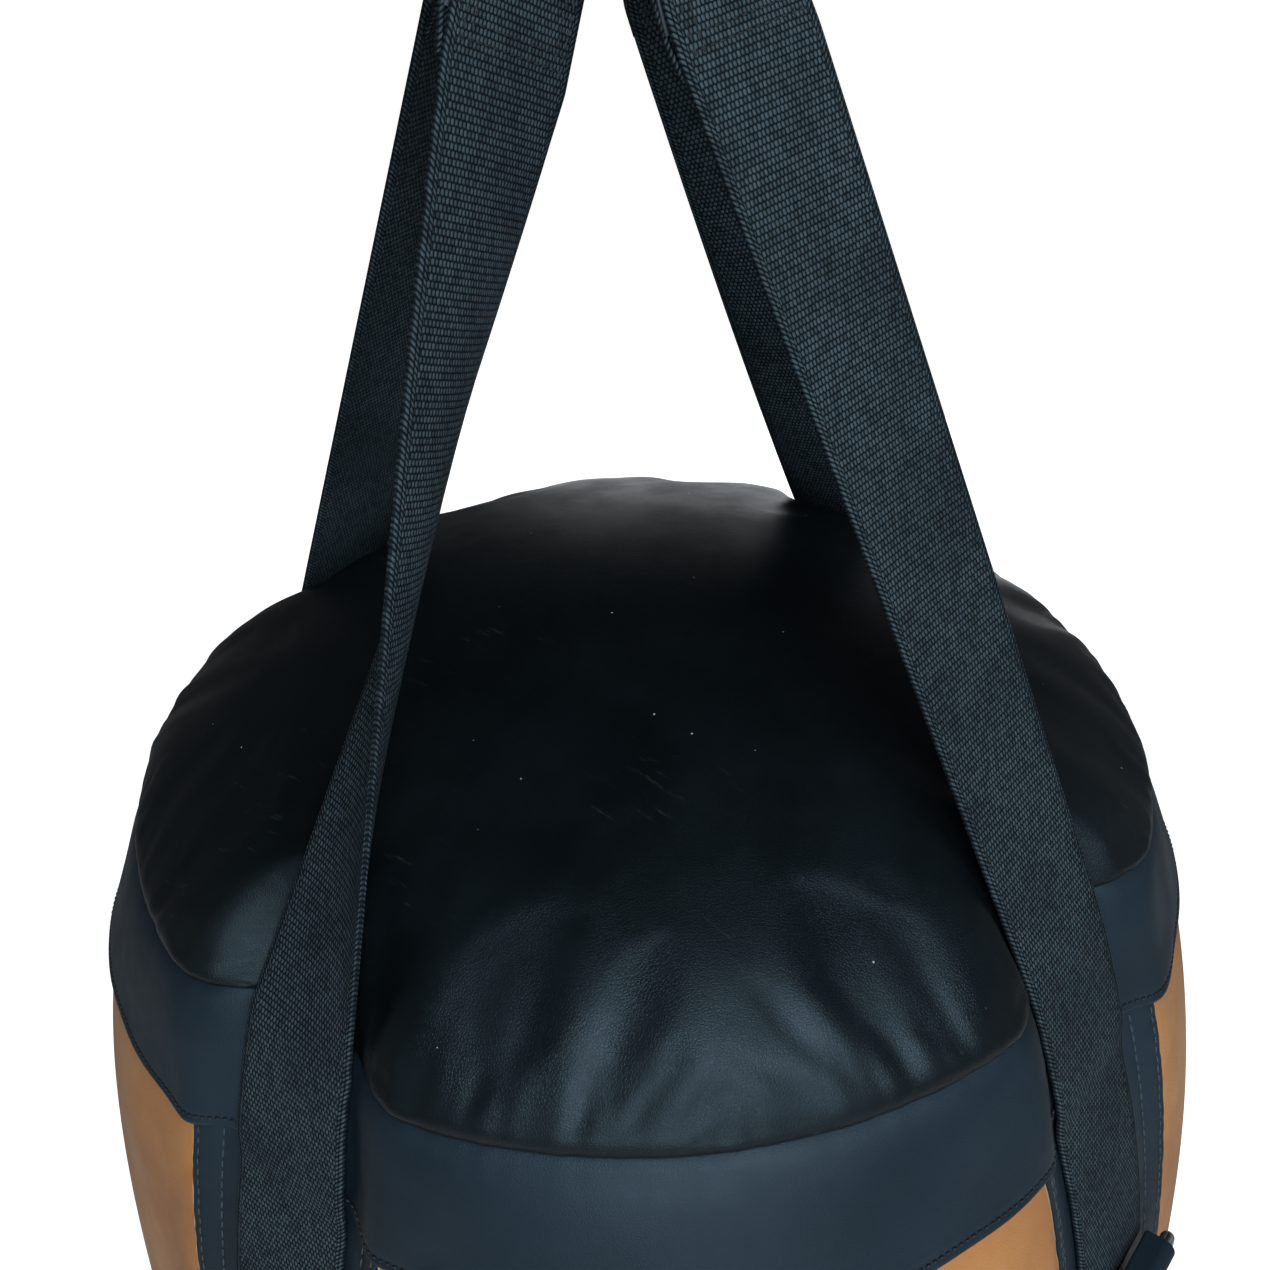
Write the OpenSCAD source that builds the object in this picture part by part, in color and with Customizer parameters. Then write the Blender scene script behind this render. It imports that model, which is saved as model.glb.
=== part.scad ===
// Wide heavy bag that hangs from a four-strap webbing harness, a barred hanger plate
// and an eye-and-jaw swivel. Millimetres, +Z up, origin at the centre of the top eye.
// The skins follow one lobed outline: drawn in under each strap, full between them.

/* [Bag] */
// Radius of the seam ring where the dome meets the collar
seam_r = 183; // [160:1:220]
// Height of the dome above the seam ring
dome_h = 66; // [40:1:80]
// Depth of the collar band below the seam ring
collar_h = 51; // [40:1:75]
// How far the seam is drawn in under each strap
seam_pinch = 17; // [4:1:20]
// How much wider the collar's hem is than the seam ring
hem_flare = 17; // [8:1:25]
// Length of the bag from the seam ring to the base
body_len = 900; // [600:10:1300]
// How far the filled body swells beyond the hem
belly_swell = 27; // [0:1:35]
// Thickness of the leather panels and strips
skin_wall = 3; // [2:0.5:4]
// Thickness of the folded collar and base bands
band_wall = 2.4; // [1.5:0.1:4]
// Depth of the band round the base
base_band_h = 60; // [40:1:80]
// Thickness of the base cover
base_wall = 4; // [3:0.5:8]
// Width of the vertical strip under each strap
strip_w = 90; // [70:1:110]
// Thickness of the foam sleeve
foam_wall = 18; // [10:1:30]

/* [Harness] */
// Width of the webbing
web_w = 50; // [40:1:55]
// Thickness of the webbing
web_t = 2; // [1.5:0.1:3]
// Angle between a taut strap and the vertical
strap_lean = 24.6; // [20:0.2:30]
// Length of webbing folded back at the top of each strap
fold_back = 41; // [40:1:60]
// Thickness of the wear lining inside each loop
lining_t = 1.2; // [0.8:0.1:2]
// Length of the lining below its bar
lining_drop = 30; // [15:1:31]
// Distance from the seam ring down to the top of the ring tabs
tab_drop = 138; // [115:1:180]
// Height of a ring tab
tab_h = 48; // [36:1:60]
// Width of a ring tab
tab_w = 40; // [30:1:50]
// Thickness of a ring tab
tab_t = 4; // [3:0.5:6]

/* [Rings and eyelets] */
// Radius of the steel rod in the lower D-rings
ring_rod_r = 2.5; // [2:0.1:3]
// Height of a lower D-ring, from its bar to the middle of its bow
ring_h = 32; // [31:1:42]
// Outer radius of an eyelet's flange
eyelet_r = 6; // [5:0.5:9]
// Radius of the hole through an eyelet
eyelet_bore_r = 3; // [2:0.5:4]
// Distance of the eyelets below the collar's hem
eyelet_drop = 55; // [40:1:90]

/* [Hanger plate] */
// Radius of the round bars under the plate
bar_r = 4.5; // [3.5:0.5:6]
// Distance of the strap bars from the swivel's axis
bar_x = 26.5; // [24:0.5:36]
// Thickness of the plate
plate_t = 8; // [6:0.5:12]
// Thickness of the plate's central lug
lug_t = 12; // [8:1:16]
// Outer radius of the lug
lug_r = 17; // [15:0.5:17]
// Height of the jaw bolt above the plate
lug_rise = 20; // [18:1:30]

/* [Swivel] */
// Radius of the hole in the top eye
eye_bore_r = 13; // [10:0.5:15]
// Radial width of the eye's rim
eye_rim = 8; // [6:0.5:12]
// Thickness of the eye
eye_t = 14; // [10:1:18]
// Radius of the eye's stem
stem_r = 6; // [5:0.5:8]
// Thickness of the jaw's bridge
bridge_t = 12; // [8:1:16]
// Half of the gap between the jaw's legs
jaw_gap = 16; // [14:0.5:20]
// Thickness of each leg of the jaw
leg_t = 8; // [6:0.5:12]
// Width of the jaw
jaw_w = 26; // [22:1:32]
// Radius of the jaw bolt
bolt_r = 6; // [5:0.5:7]

/* [Base zip] */
// Length of the zip across the base
zip_len = 260; // [200:10:290]
// Width of the row of teeth
teeth_w = 6; // [5:0.5:8]
// Length of the puller
puller_len = 28; // [20:1:40]

/* [Clearances] */
// Gap between layers of soft material
layer_gap = 1; // [0.8:0.1:1.5]
// Gap between sewn edges
edge_gap = 0.3; // [0.2:0.1:0.5]
// Radial clearance of running fits
run_gap = 0.05; // [0.02:0.01:0.1]
// Gap between faces that slide past each other
face_gap = 0.3; // [0.2:0.1:0.5]

/* [Hidden] */

navy = [0.10, 0.15, 0.19];
navy_black = [0.06, 0.09, 0.10];
tan_leather = [0.70, 0.49, 0.29];
webbing_navy = [0.13, 0.18, 0.21];
vinyl = [0.25, 0.30, 0.34];
steel = [0.66, 0.67, 0.68];
dark_steel = [0.35, 0.36, 0.38];

// turns of the four straps and of the four panels between them
RIGHT = 0;
BACK = 90;
LEFT = 180;
FRONT = 270;
fine = 64;

// ---- levels, from the eye's centre downwards ----
eye_outer_r = eye_bore_r + eye_rim;
neck_len = 9;
neck_z = -eye_outer_r - neck_len;
flange_t = 4;
flange_r = 11;
bridge_top = neck_z - flange_t - face_gap;
bridge_bottom = bridge_top - bridge_t;
bearing_t = 5;
bearing_r = 12;
nut_t = 10;
nut_r = 11;
nut_bottom = bridge_bottom - bearing_t - nut_t;
nut_to_lug = 6;
bolt_z = nut_bottom - lug_r - nut_to_lug;
plate_top = bolt_z - lug_rise;
plate_bottom = plate_top - plate_t;
web_path_r = bar_r + face_gap + lining_t + face_gap + web_t / 2;
lining_path_r = bar_r + face_gap + lining_t / 2;
// two of the bars slope with the straps' lean, and the outer corners of their loops stand highest
loop_top_gap = 2;
loop_room = (web_path_r + web_w / 2) * sin(strap_lean) + (web_path_r + web_t / 2) * cos(strap_lean)
    + loop_top_gap;
bar_z = plate_bottom - loop_room;

// ---- lobed outline of the bag; d is the distance below the seam ring ----
hem_lobe = 0.027;
pinch_width = 15;
// share of the hollow under a strap that is left at the hem
hem_pinch_share = 0.65;
belly_rise = 80;
base_tuck = 60;
base_lobe = 0.3;
lobe_fade = 350;
pinch_fade = 200;

function unit(t) = min(1, max(0, t));
function turn_in(a) = (a % 90 + 90) % 90;
function off_strap(a) = min(turn_in(a), 90 - turn_in(a));
function pinch(a) = exp(-pow(off_strap(a) / pinch_width, 4));
function below_hem(d) = max(0, d - collar_h);
function mean_r(d) = seam_r + hem_flare * pow(unit(d / collar_h), 0.85)
    + belly_swell * (1 - exp(-below_hem(d) / belly_rise))
    * (1 - exp(-max(0, body_len - d) / base_tuck));
function lobe(d) = hem_lobe * unit(d / collar_h)
    * (base_lobe + (1 - base_lobe) * exp(-below_hem(d) / lobe_fade));
function pinch_share(d) = 1 + (hem_pinch_share - 1) * unit(d / collar_h);
function pinch_depth(d) = seam_pinch * pinch_share(d) * exp(-below_hem(d) / pinch_fade);
function skin_r(a, d) = mean_r(d) * (1 - lobe(d) * cos(4 * a)) - pinch_depth(d) * pinch(a);
// the body's leather lies one band's thickness inside the collar
body_inset = band_wall + layer_gap;
function body_r(a, d) = skin_r(a, d) - body_inset;

// ---- strap line, from its foot on the seam ring to its bar ----
strap_stand_off = 0.5;
web_rest = web_t / 2 + strap_stand_off;
foot_drop = 3;
foot_r = skin_r(0, foot_drop) + web_rest;
lean_run = (foot_r - bar_x - web_path_r * cos(strap_lean)) / tan(strap_lean);
bar_rise = lean_run - foot_drop - web_path_r * sin(strap_lean);
seam_z = bar_z - bar_rise;
base_z = seam_z - body_len;

function spot(r, a, d) = [r * cos(a), r * sin(a), seam_z - d];
// an edge is a turn and a distance round the bag from it
function edge_turn(edge, d) = edge[0] + edge[1] / mean_r(d) * 180 / PI;
function span_turn(from, to, d, t) = edge_turn(from, d) * (1 - t) + edge_turn(to, d) * t;

// rows lie closer together at the top, where the skin curves most
function row_depth(top, bottom, t) = top + (bottom - top) * pow(t, 1.4);

// ---- shared shapes ----

// a piece of skin between two edges, from d_top down to d_bottom
module skin_panel(from, to, d_top, d_bottom, inset, wall, cols, rows) {
    n = rows + 1;
    layer = (cols + 1) * n;
    points = [for (k = [0, 1]) for (i = [0:cols]) for (j = [0:rows])
        let (d = row_depth(d_top, d_bottom, j / rows), a = span_turn(from, to, d, i / cols))
        spot(skin_r(a, d) - inset - k * wall, a, d)];
    faces = [
        for (i = [0:cols - 1]) for (j = [0:rows - 1]) let (p = i * n + j)
            each [[p, p + 1, p + n], [p + n, p + 1, p + n + 1],
                [layer + p, layer + p + n, layer + p + 1],
                [layer + p + n, layer + p + n + 1, layer + p + 1]],
        for (i = [0:cols - 1]) for (j = [0, rows]) let (p = i * n + j, q = p + n)
            each j == 0 ? [[p, q, layer + p], [q, layer + q, layer + p]]
                : [[p, layer + p, q], [q, layer + p, layer + q]],
        for (j = [0:rows - 1]) for (i = [0, cols]) let (p = i * n + j, q = p + 1)
            each i == 0 ? [[p, layer + p, q], [q, layer + p, layer + q]]
                : [[p, q, layer + p], [q, layer + q, layer + p]]];
    polyhedron(points, faces);
}

// a skin that goes all the way round, from d_top down to d_bottom
module skin_ring(d_top, d_bottom, inset, wall, cols, rows) {
    n = rows + 1;
    layer = cols * n;
    points = [for (k = [0, 1]) for (i = [0:cols - 1]) for (j = [0:rows])
        let (d = row_depth(d_top, d_bottom, j / rows), a = 360 * i / cols)
        spot(skin_r(a, d) - inset - k * wall, a, d)];
    faces = [for (i = [0:cols - 1]) let (c = i * n, e = (i + 1) % cols * n) each concat(
        [for (j = [0:rows - 1]) each [[c + j, c + j + 1, e + j], [e + j, c + j + 1, e + j + 1],
            [layer + c + j, layer + e + j, layer + c + j + 1],
            [layer + e + j, layer + e + j + 1, layer + c + j + 1]]],
        [[c, e, layer + c], [e, layer + e, layer + c],
            [c + rows, layer + c + rows, e + rows], [e + rows, layer + c + rows, layer + e + rows]])];
    polyhedron(points, faces);
}

// a solid slab with the bag's outline at depth d
module skin_slab(d, inset, height, cols) {
    translate([0, 0, seam_z - d])
        linear_extrude(height)
            polygon([for (i = [0:cols - 1]) let (a = 360 * i / cols, r = skin_r(a, d) - inset)
                [r * cos(a), r * sin(a)]]);
}

// a flat strip of given width and thickness; each station is a point and the way its width lies
function path_step(path, i) = path[min(len(path) - 1, i + 1)][0] - path[max(0, i - 1)][0];
function strip_corner(path, i, side, face) = let (thick = cross(path[i][1], path_step(path, i)))
    path[i][0] + path[i][1] * side + thick / norm(thick) * face;
module flat_strip(path, width, thickness) {
    last = len(path) - 1;
    points = [for (i = [0:last]) for (c = [[1, 1], [-1, 1], [-1, -1], [1, -1]])
        strip_corner(path, i, c[0] * width / 2, c[1] * thickness / 2)];
    faces = concat(
        [[3, 2, 1], [3, 1, 0],
            [4 * last, 4 * last + 1, 4 * last + 2], [4 * last, 4 * last + 2, 4 * last + 3]],
        [for (i = [0:last - 1]) for (c = [0:3]) let (p = 4 * i + c, q = 4 * i + (c + 1) % 4)
            // both broad faces are split the same way, so that a twisted strip keeps its thickness
            each c < 2 ? [[p, q, p + 4], [q, q + 4, p + 4]] : [[p, q, q + 4], [p, q + 4, p + 4]]]);
    polyhedron(points, faces);
}

module rod_along_y(radius, length) {
    rotate([90, 0, 0])
        cylinder(r = radius, h = length, center = true, $fn = fine);
}
module rod_along_x(radius, length) {
    rotate([0, 90, 0])
        cylinder(r = radius, h = length, center = true, $fn = fine);
}

// ---- swivel ----
module swivel_eye() color(steel) {
    difference() {
        union() {
            intersection() {
                rod_along_y(eye_outer_r, eye_t);
                sphere(r = eye_outer_r + 1, $fn = fine);
            }
            translate([0, 0, neck_z])
                cylinder(r1 = flange_r - 1, r2 = eye_t / 2, h = -neck_z - eye_bore_r - 3, $fn = fine);
            translate([0, 0, neck_z - flange_t])
                cylinder(r = flange_r, h = flange_t, $fn = fine);
            translate([0, 0, nut_bottom])
                cylinder(r = stem_r, h = neck_z - nut_bottom - 1, $fn = fine);
        }
        rod_along_y(eye_bore_r, eye_t + 2);
    }
}
module stem_nut() color(dark_steel)
    translate([0, 0, nut_bottom])
        difference() {
            cylinder(r = nut_r, h = nut_t, $fn = 6);
            translate([0, 0, -1])
                cylinder(r = stem_r, h = nut_t + 2, $fn = fine);
        }
module thrust_bearing() color(steel)
    translate([0, 0, bridge_bottom - bearing_t])
        difference() {
            cylinder(r = bearing_r, h = bearing_t - face_gap, $fn = fine);
            translate([0, 0, -1])
                cylinder(r = stem_r, h = bearing_t + 2, $fn = fine);
        }
module jaw_leg(side)
    difference() {
        union() {
            translate([side * (jaw_gap + leg_t / 2), 0, (bolt_z + bridge_top) / 2])
                cube([leg_t, jaw_w, bridge_top - bolt_z], center = true);
            translate([side * (jaw_gap + leg_t / 2), 0, bolt_z])
                rod_along_x(jaw_w / 2, leg_t);
        }
        translate([side * (jaw_gap + leg_t / 2), 0, bolt_z])
            rod_along_x(bolt_r + run_gap, leg_t + 2);
    }
module swivel_jaw() color(dark_steel)
    difference() {
        union() {
            jaw_leg(-1);
            jaw_leg(1);
            translate([0, 0, bridge_top - bridge_t / 2])
                cube([2 * jaw_gap + 2, jaw_w, bridge_t], center = true);
        }
        translate([0, 0, bridge_bottom - 1])
            cylinder(r = stem_r + run_gap, h = bridge_t + 2, $fn = fine);
    }
bolt_head_t = 7;
bolt_head_r = 10.5;
bolt_tail = 12;
leg_outer = jaw_gap + leg_t;
module jaw_bolt() color(steel)
    translate([0, 0, bolt_z]) {
        translate([(bolt_tail - bolt_head_t) / 2 - face_gap / 2, 0, 0])
            rod_along_x(bolt_r, 2 * leg_outer + bolt_tail + bolt_head_t - face_gap);
        translate([-leg_outer - face_gap - bolt_head_t, 0, 0])
            rotate([0, 90, 0])
                cylinder(r = bolt_head_r, h = bolt_head_t, $fn = 6);
    }
jaw_nut_t = 9;
module jaw_nut() color(dark_steel)
    translate([leg_outer + face_gap, 0, bolt_z])
        rotate([0, 90, 0])
            difference() {
                cylinder(r = bolt_head_r, h = jaw_nut_t, $fn = 6);
                translate([0, 0, -1])
                    cylinder(r = bolt_r, h = jaw_nut_t + 2, $fn = fine);
            }

// ---- strap lean; a strap's own x runs outwards from the bag's axis ----
tangent = [0, 1, 0];
lean_up = [-sin(strap_lean), 0, cos(strap_lean)];
lean_out = [cos(strap_lean), 0, sin(strap_lean)];
bar_point = [bar_x, 0, bar_z];

// ---- hanger plate: two level bars at its sides, two sloping arms that meet in the middle ----
bush_r = bolt_r + 3;
bar_side_gap = 1.5;
// the posts and the knuckle between the arms are a little stouter than the bars
post_r = bar_r + 0.6;
knuckle_ball_r = bar_r + 1.5;
post_foot = post_r + 0.5;
bar_end = web_w / 2 + bar_side_gap + post_r;
arm_end = web_path_r + bar_end;
arm_root = -bar_x / cos(strap_lean);
arm_tip = bar_point + lean_out * arm_end;
plate_margin = 1.5;
arm_plate_w = 18;
module post(bar_tip)
    translate(bar_tip - [0, 0, post_foot])
        cylinder(r = post_r, h = plate_bottom - bar_tip[2] + post_foot + 1, $fn = fine);
module side_bar() {
    translate(bar_point)
        rod_along_y(bar_r, 2 * bar_end);
    for (side = [-1, 1])
        post(bar_point + tangent * side * bar_end);
}
module sloping_arm() {
    translate(bar_point + lean_out * arm_root)
        rotate([0, 90 - strap_lean, 0])
            cylinder(r = bar_r, h = arm_end - arm_root, $fn = fine);
    post(arm_tip);
}
module plate_box(half_x, half_y)
    translate([-half_x, -half_y, plate_bottom])
        cube([2 * half_x, 2 * half_y, plate_t]);
module hanger_plate() color(dark_steel)
    difference() {
        union() {
            plate_box(bar_x + post_r + plate_margin, bar_end + post_r + plate_margin);
            plate_box(arm_plate_w / 2, arm_tip[0] + post_r + plate_margin);
            for (turn = [RIGHT, LEFT])
                rotate([0, 0, turn])
                    side_bar();
            for (turn = [BACK, FRONT])
                rotate([0, 0, turn])
                    sloping_arm();
            translate(bar_point + lean_out * arm_root)
                sphere(r = knuckle_ball_r, $fn = fine);
            translate([0, 0, bolt_z])
                rod_along_x(lug_r, lug_t);
            translate([-lug_t / 2, -lug_r, plate_top - 1])
                cube([lug_t, 2 * lug_r, lug_rise + 1]);
        }
        translate([0, 0, bolt_z])
            rod_along_x(bush_r, lug_t + 2);
    }
module lug_bush() color([0.72, 0.58, 0.32])
    translate([0, 0, bolt_z])
        difference() {
            rod_along_x(bush_r, 2 * (jaw_gap - face_gap));
            rod_along_x(bolt_r + run_gap, 2 * jaw_gap + 2);
        }

// ---- webbing straps ----
// a loop's middle, the way from its bar to the strap's run, and the way the webbing's width lies;
// turned is 0 for a level bar, and 1 or -1 for an arm that takes the strap with a quarter twist
function loop_frame(turned) = turned == 0 ? [bar_point, lean_out, tangent]
    : [bar_point + lean_out * web_path_r, tangent * turned, lean_out * turned];
// a station u above the bar's centre along the strap and v outside the bar's centre
function bar_station(turned, u, v) = let (frame = loop_frame(turned))
    [frame[0] + lean_up * u + frame[1] * v, frame[2]];
function arc_station(turned, radius, a) = bar_station(turned, radius * sin(a), radius * cos(a));
strap_end_drop = tab_drop + 8;
// run of the webbing down the bag: over the collar, then over the strip
function lower_run() = [
    for (t = [0:0.2:1]) let (d = strap_end_drop * (1 - t) + (collar_h + 8) * t)
        [[body_r(0, d) + web_rest, 0, seam_z - d], tangent],
    for (d = [collar_h - 1, collar_h / 2, 6])
        [[skin_r(0, d) + web_rest, 0, seam_z - d], tangent]];
foot_point = [foot_r, 0, seam_z - foot_drop];
// the strap leaves the seam flat, and twists evenly from there to its folded-back end
twist_start = 0.05;
function free_run(turned, steps) = let (top = bar_station(turned, -fold_back, web_path_r)[0])
    [for (i = [0:steps])
        let (t = i / steps, twist = 90 * turned * unit((t - twist_start) / (1 - twist_start)))
        [foot_point * (1 - t) + top * t, tangent * cos(twist) + lean_out * sin(twist)]];
layer_step = web_t + lining_t + 2 * edge_gap;
// places down the folded-back end, measured from the bar
crossing = 9;
layered_from = 20;
lining_clear = 2;
step_in = 8;
function loop_run(turned) = concat(
    [bar_station(turned, -fold_back / 2, web_path_r)],
    [for (a = [0:22.5:180]) arc_station(turned, web_path_r, a)],
    [bar_station(turned, -crossing, -web_path_r + 1),
        bar_station(turned, -layered_from, web_path_r - layer_step),
        bar_station(turned, -lining_drop - lining_clear, web_path_r - layer_step),
        bar_station(turned, -lining_drop - step_in, web_path_r - web_t - edge_gap),
        bar_station(turned, -fold_back, web_path_r - web_t - edge_gap)]);
module strap(turn, turned = 0, steps = 4) color(webbing_navy)
    rotate([0, 0, turn])
        flat_strip(concat(lower_run(), free_run(turned, steps), loop_run(turned)), web_w, web_t);
lining_end = 5;
module loop_lining(turn, turned = 0) color(vinyl)
    rotate([0, 0, turn])
        flat_strip(concat(
            [bar_station(turned, -lining_drop, web_path_r - web_t / 2 - edge_gap - lining_t / 2)],
            [for (a = [0:22.5:180]) arc_station(turned, lining_path_r, a)],
            [bar_station(turned, -lining_end, -lining_path_r + edge_gap)]), web_w, lining_t);

// ---- skins ----
dome_scale = [1, 0.985, 0.94, 0.86, 0.72, 0.5, 0.25];
dome_fullness = 0.69;
module dome_shell(outer_drop, cols) {
    n = len(dome_scale);
    points = concat(
        [for (i = [0:cols - 1]) for (s = dome_scale) let (a = 360 * i / cols)
            dome_spot(a, s, outer_drop)],
        [[0, 0, seam_z + dome_h - outer_drop]]);
    top = cols * n;
    faces = concat(
        [for (i = [0:cols - 1]) let (c = i * n, e = (i + 1) % cols * n) each concat(
            [for (j = [0:n - 2]) each [[c + j, c + j + 1, e + j], [e + j, c + j + 1, e + j + 1]]],
            [[c + n - 1, top, e + n - 1]])],
        [[for (i = [cols - 1:-1:0]) i * n]]);
    polyhedron(points, faces);
}
// the straps bed a little deeper into the dome than into the collar
strap_bed = 2.5;
function dome_spot(a, s, drop) = let (
        hollow = (seam_pinch + strap_bed) * pinch(a) * pow(s, 4),
        r = (seam_r - drop - hollow) * s)
    [r * cos(a), r * sin(a), seam_z + (dome_h - drop) * pow(1 - s * s, dome_fullness)];
module dome_cover() color(navy_black)
    difference() {
        dome_shell(0, 48);
        translate([0, 0, -0.01])
            dome_shell(skin_wall, 48);
    }
module collar_band() color(navy)
    skin_ring(edge_gap, collar_h, 0, band_wall, 60, 2);
collar_lap = 8;
body_top = collar_h - collar_lap;
body_bottom = body_len - base_wall - edge_gap;
module leather_panel(turn) color(tan_leather)
    difference() {
        skin_panel([turn, strip_w / 2 + edge_gap / 2], [turn + 90, -strip_w / 2 - edge_gap / 2],
            body_top, body_bottom, body_inset, skin_wall, 9, 12);
        eyelet_place(turn)
            rod_along_x(barrel_r + edge_gap, 6 * skin_wall);
    }
module leather_strip(turn) color(navy)
    skin_panel([turn, -strip_w / 2 + edge_gap / 2], [turn, strip_w / 2 - edge_gap / 2],
        body_top, body_bottom, body_inset, skin_wall, 4, 12);
module base_band() color(navy)
    skin_ring(body_len - base_band_h, body_len, 0, band_wall, 48, 2);
base_inset = body_inset + edge_gap;
tape_w = 26;
tape_t = 1;
zip_border = 2;
module base_cover() color(navy)
    difference() {
        skin_slab(body_len, base_inset, base_wall, 48);
        translate([-zip_len / 2 - edge_gap, -teeth_w / 2 - zip_border, base_z - 1])
            cube([zip_len + 2 * edge_gap, teeth_w + 2 * zip_border, base_wall + 2]);
    }

// ---- eyelets, one in the middle of each panel ----
eyelet_d = collar_h + eyelet_drop;
flange_step = 1.5;
barrel_r = eyelet_r - flange_step;
flange_wall = 1;
barrel_foot = 0.2;
barrel_reach = 1.2;
module eyelet_place(turn)
    rotate([0, 0, turn + 45])
        translate([body_r(45, eyelet_d), 0, seam_z - eyelet_d])
            children();
module vent_eyelets() color([0.62, 0.66, 0.60])
    for (turn = [RIGHT, BACK, LEFT, FRONT])
        eyelet_place(turn)
            difference() {
                union() {
                    translate([edge_gap + flange_wall / 2, 0, 0])
                        rod_along_x(eyelet_r, flange_wall);
                    translate([barrel_foot - skin_wall / 2, 0, 0])
                        rod_along_x(barrel_r, skin_wall + barrel_reach);
                }
                rod_along_x(eyelet_bore_r, 6 * skin_wall);
            }

// ---- ring tabs and D-rings ----
roll_wall = 2;
roll_r = ring_rod_r + run_gap + roll_wall;
tab_x = max(body_r(0, strap_end_drop) + web_rest + web_t / 2, body_r(0, tab_drop + tab_h)) + edge_gap;
roll_x = tab_x + tab_t + ring_rod_r + face_gap;
roll_z = seam_z - tab_drop - roll_r;
module ring_tab(turn) color(navy)
    rotate([0, 0, turn])
        difference() {
            union() {
                translate([tab_x, -tab_w / 2, seam_z - tab_drop - tab_h])
                    cube([tab_t, tab_w, tab_h]);
                translate([tab_x, -tab_w / 2, roll_z - roll_r])
                    cube([roll_x - tab_x, tab_w, 2 * roll_r]);
                translate([roll_x, 0, roll_z])
                    rod_along_y(roll_r, tab_w);
            }
            translate([roll_x, 0, roll_z])
                rod_along_y(ring_rod_r + run_gap, tab_w + 2);
        }
ring_side_gap = 1.5;
ring_half = tab_w / 2 + ring_rod_r + ring_side_gap;
module d_ring(turn) color(steel)
    rotate([0, 0, turn])
        translate([roll_x, 0, roll_z]) {
            rod_along_y(ring_rod_r, 2 * ring_half);
            for (side = [-1, 1])
                translate([0, side * ring_half, 0]) {
                    sphere(r = ring_rod_r, $fn = fine);
                    translate([0, 0, ring_half - ring_h])
                        cylinder(r = ring_rod_r, h = ring_h - ring_half, $fn = fine);
                }
            translate([0, 0, ring_half - ring_h])
                rotate([0, 90, 0])
                    rotate([0, 0, -90])
                        rotate_extrude(angle = 180, $fn = fine)
                            translate([ring_half, 0])
                                circle(r = ring_rod_r, $fn = 32);
        }

// ---- base zip ----
teeth_t = 3;
slider_wall = 1.6;
slider_len = 14;
slider_x = -zip_len / 2 + slider_len;
ear_gap = 2.4;
ear_t = 1.4;
ear_w = 5;
ear_h = 5.5;
puller_pin_r = 1;
pin_drop = 3;
ear_z = base_z - teeth_t - face_gap - slider_wall - pin_drop;
border_t = 2;
tape_end = 4;
module base_zip() color([0.20, 0.21, 0.22]) {
    translate([-zip_len / 2, -teeth_w / 2 - zip_border + edge_gap, base_z])
        cube([zip_len, teeth_w + 2 * zip_border - 2 * edge_gap, border_t]);
    translate([-zip_len / 2, -teeth_w / 2, base_z - teeth_t])
        cube([zip_len, teeth_w, teeth_t + 1]);
    // woven tapes inside the cover
    translate([-zip_len / 2 - tape_end, -tape_w / 2, base_z + base_wall + edge_gap])
        cube([zip_len + 2 * tape_end, tape_w, tape_t]);
    translate([-zip_len / 2, -teeth_w / 2, base_z + 1])
        cube([zip_len, teeth_w, base_wall + edge_gap]);
}
module zip_slider() color(steel)
    translate([slider_x, 0, 0]) {
        translate([-slider_len / 2, -teeth_w / 2 - face_gap - slider_wall,
            base_z - teeth_t - face_gap - slider_wall])
            cube([slider_len, teeth_w + 2 * face_gap + 2 * slider_wall, slider_wall]);
        for (side = [-1, 1]) {
            translate([-slider_len / 2, side * (teeth_w / 2 + face_gap + slider_wall / 2) - slider_wall / 2,
                base_z - teeth_t - face_gap - slider_wall])
                cube([slider_len, slider_wall, slider_wall + teeth_t]);
            translate([-ear_w / 2, side * (ear_gap + ear_t / 2) - ear_t / 2, ear_z - 2 * puller_pin_r])
                cube([ear_w, ear_t, ear_h]);
        }
        translate([0, 0, ear_z])
            rod_along_y(puller_pin_r, 2 * ear_gap + ear_t);
    }
knuckle_r = 2.4;
puller_t = 1.8;
tongue_r = 6;
tongue_hole_r = 2.5;
module zip_puller() color(steel)
    translate([slider_x, 0, ear_z])
        difference() {
            union() {
                rod_along_y(knuckle_r, 2 * (ear_gap - face_gap));
                translate([-puller_t / 2, -ear_gap + face_gap, -puller_len + tongue_r])
                    cube([puller_t, 2 * (ear_gap - face_gap), puller_len - tongue_r]);
                translate([0, 0, -puller_len + tongue_r])
                    rod_along_x(tongue_r, puller_t);
            }
            rod_along_y(puller_pin_r + run_gap, 2 * tongue_r);
            translate([0, 0, -puller_len + tongue_r])
                rod_along_x(tongue_hole_r, 2 * puller_t);
        }

// ---- inside ----
sleeve_gap = 1.3;
sleeve_inset = body_inset + skin_wall + sleeve_gap;
sleeve_foot_gap = 2;
sleeve_bottom = body_len - base_wall - sleeve_foot_gap;
fill_gap = 1.5;
fill_r = skin_r(0, body_top) - sleeve_inset - foam_wall - fill_gap;
core_r = 60;
core_share = 0.6;
core_foot_share = 0.15;
core_len = body_len * core_share;
core_z = base_z + body_len * core_foot_share;
module foam_sleeve() color([0.85, 0.83, 0.75])
    skin_ring(body_top, sleeve_bottom, sleeve_inset, foam_wall, 48, 12);
module filling() color([0.55, 0.52, 0.50])
    difference() {
        translate([0, 0, seam_z - sleeve_bottom])
            cylinder(r = fill_r, h = sleeve_bottom - body_top, $fn = fine);
        translate([0, 0, core_z - face_gap])
            cylinder(r = core_r + fill_gap, h = core_len + face_gap + fill_gap, $fn = fine);
    }
module sand_core() color([0.76, 0.68, 0.50])
    translate([0, 0, core_z])
        cylinder(r = core_r, h = core_len, $fn = fine);
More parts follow.
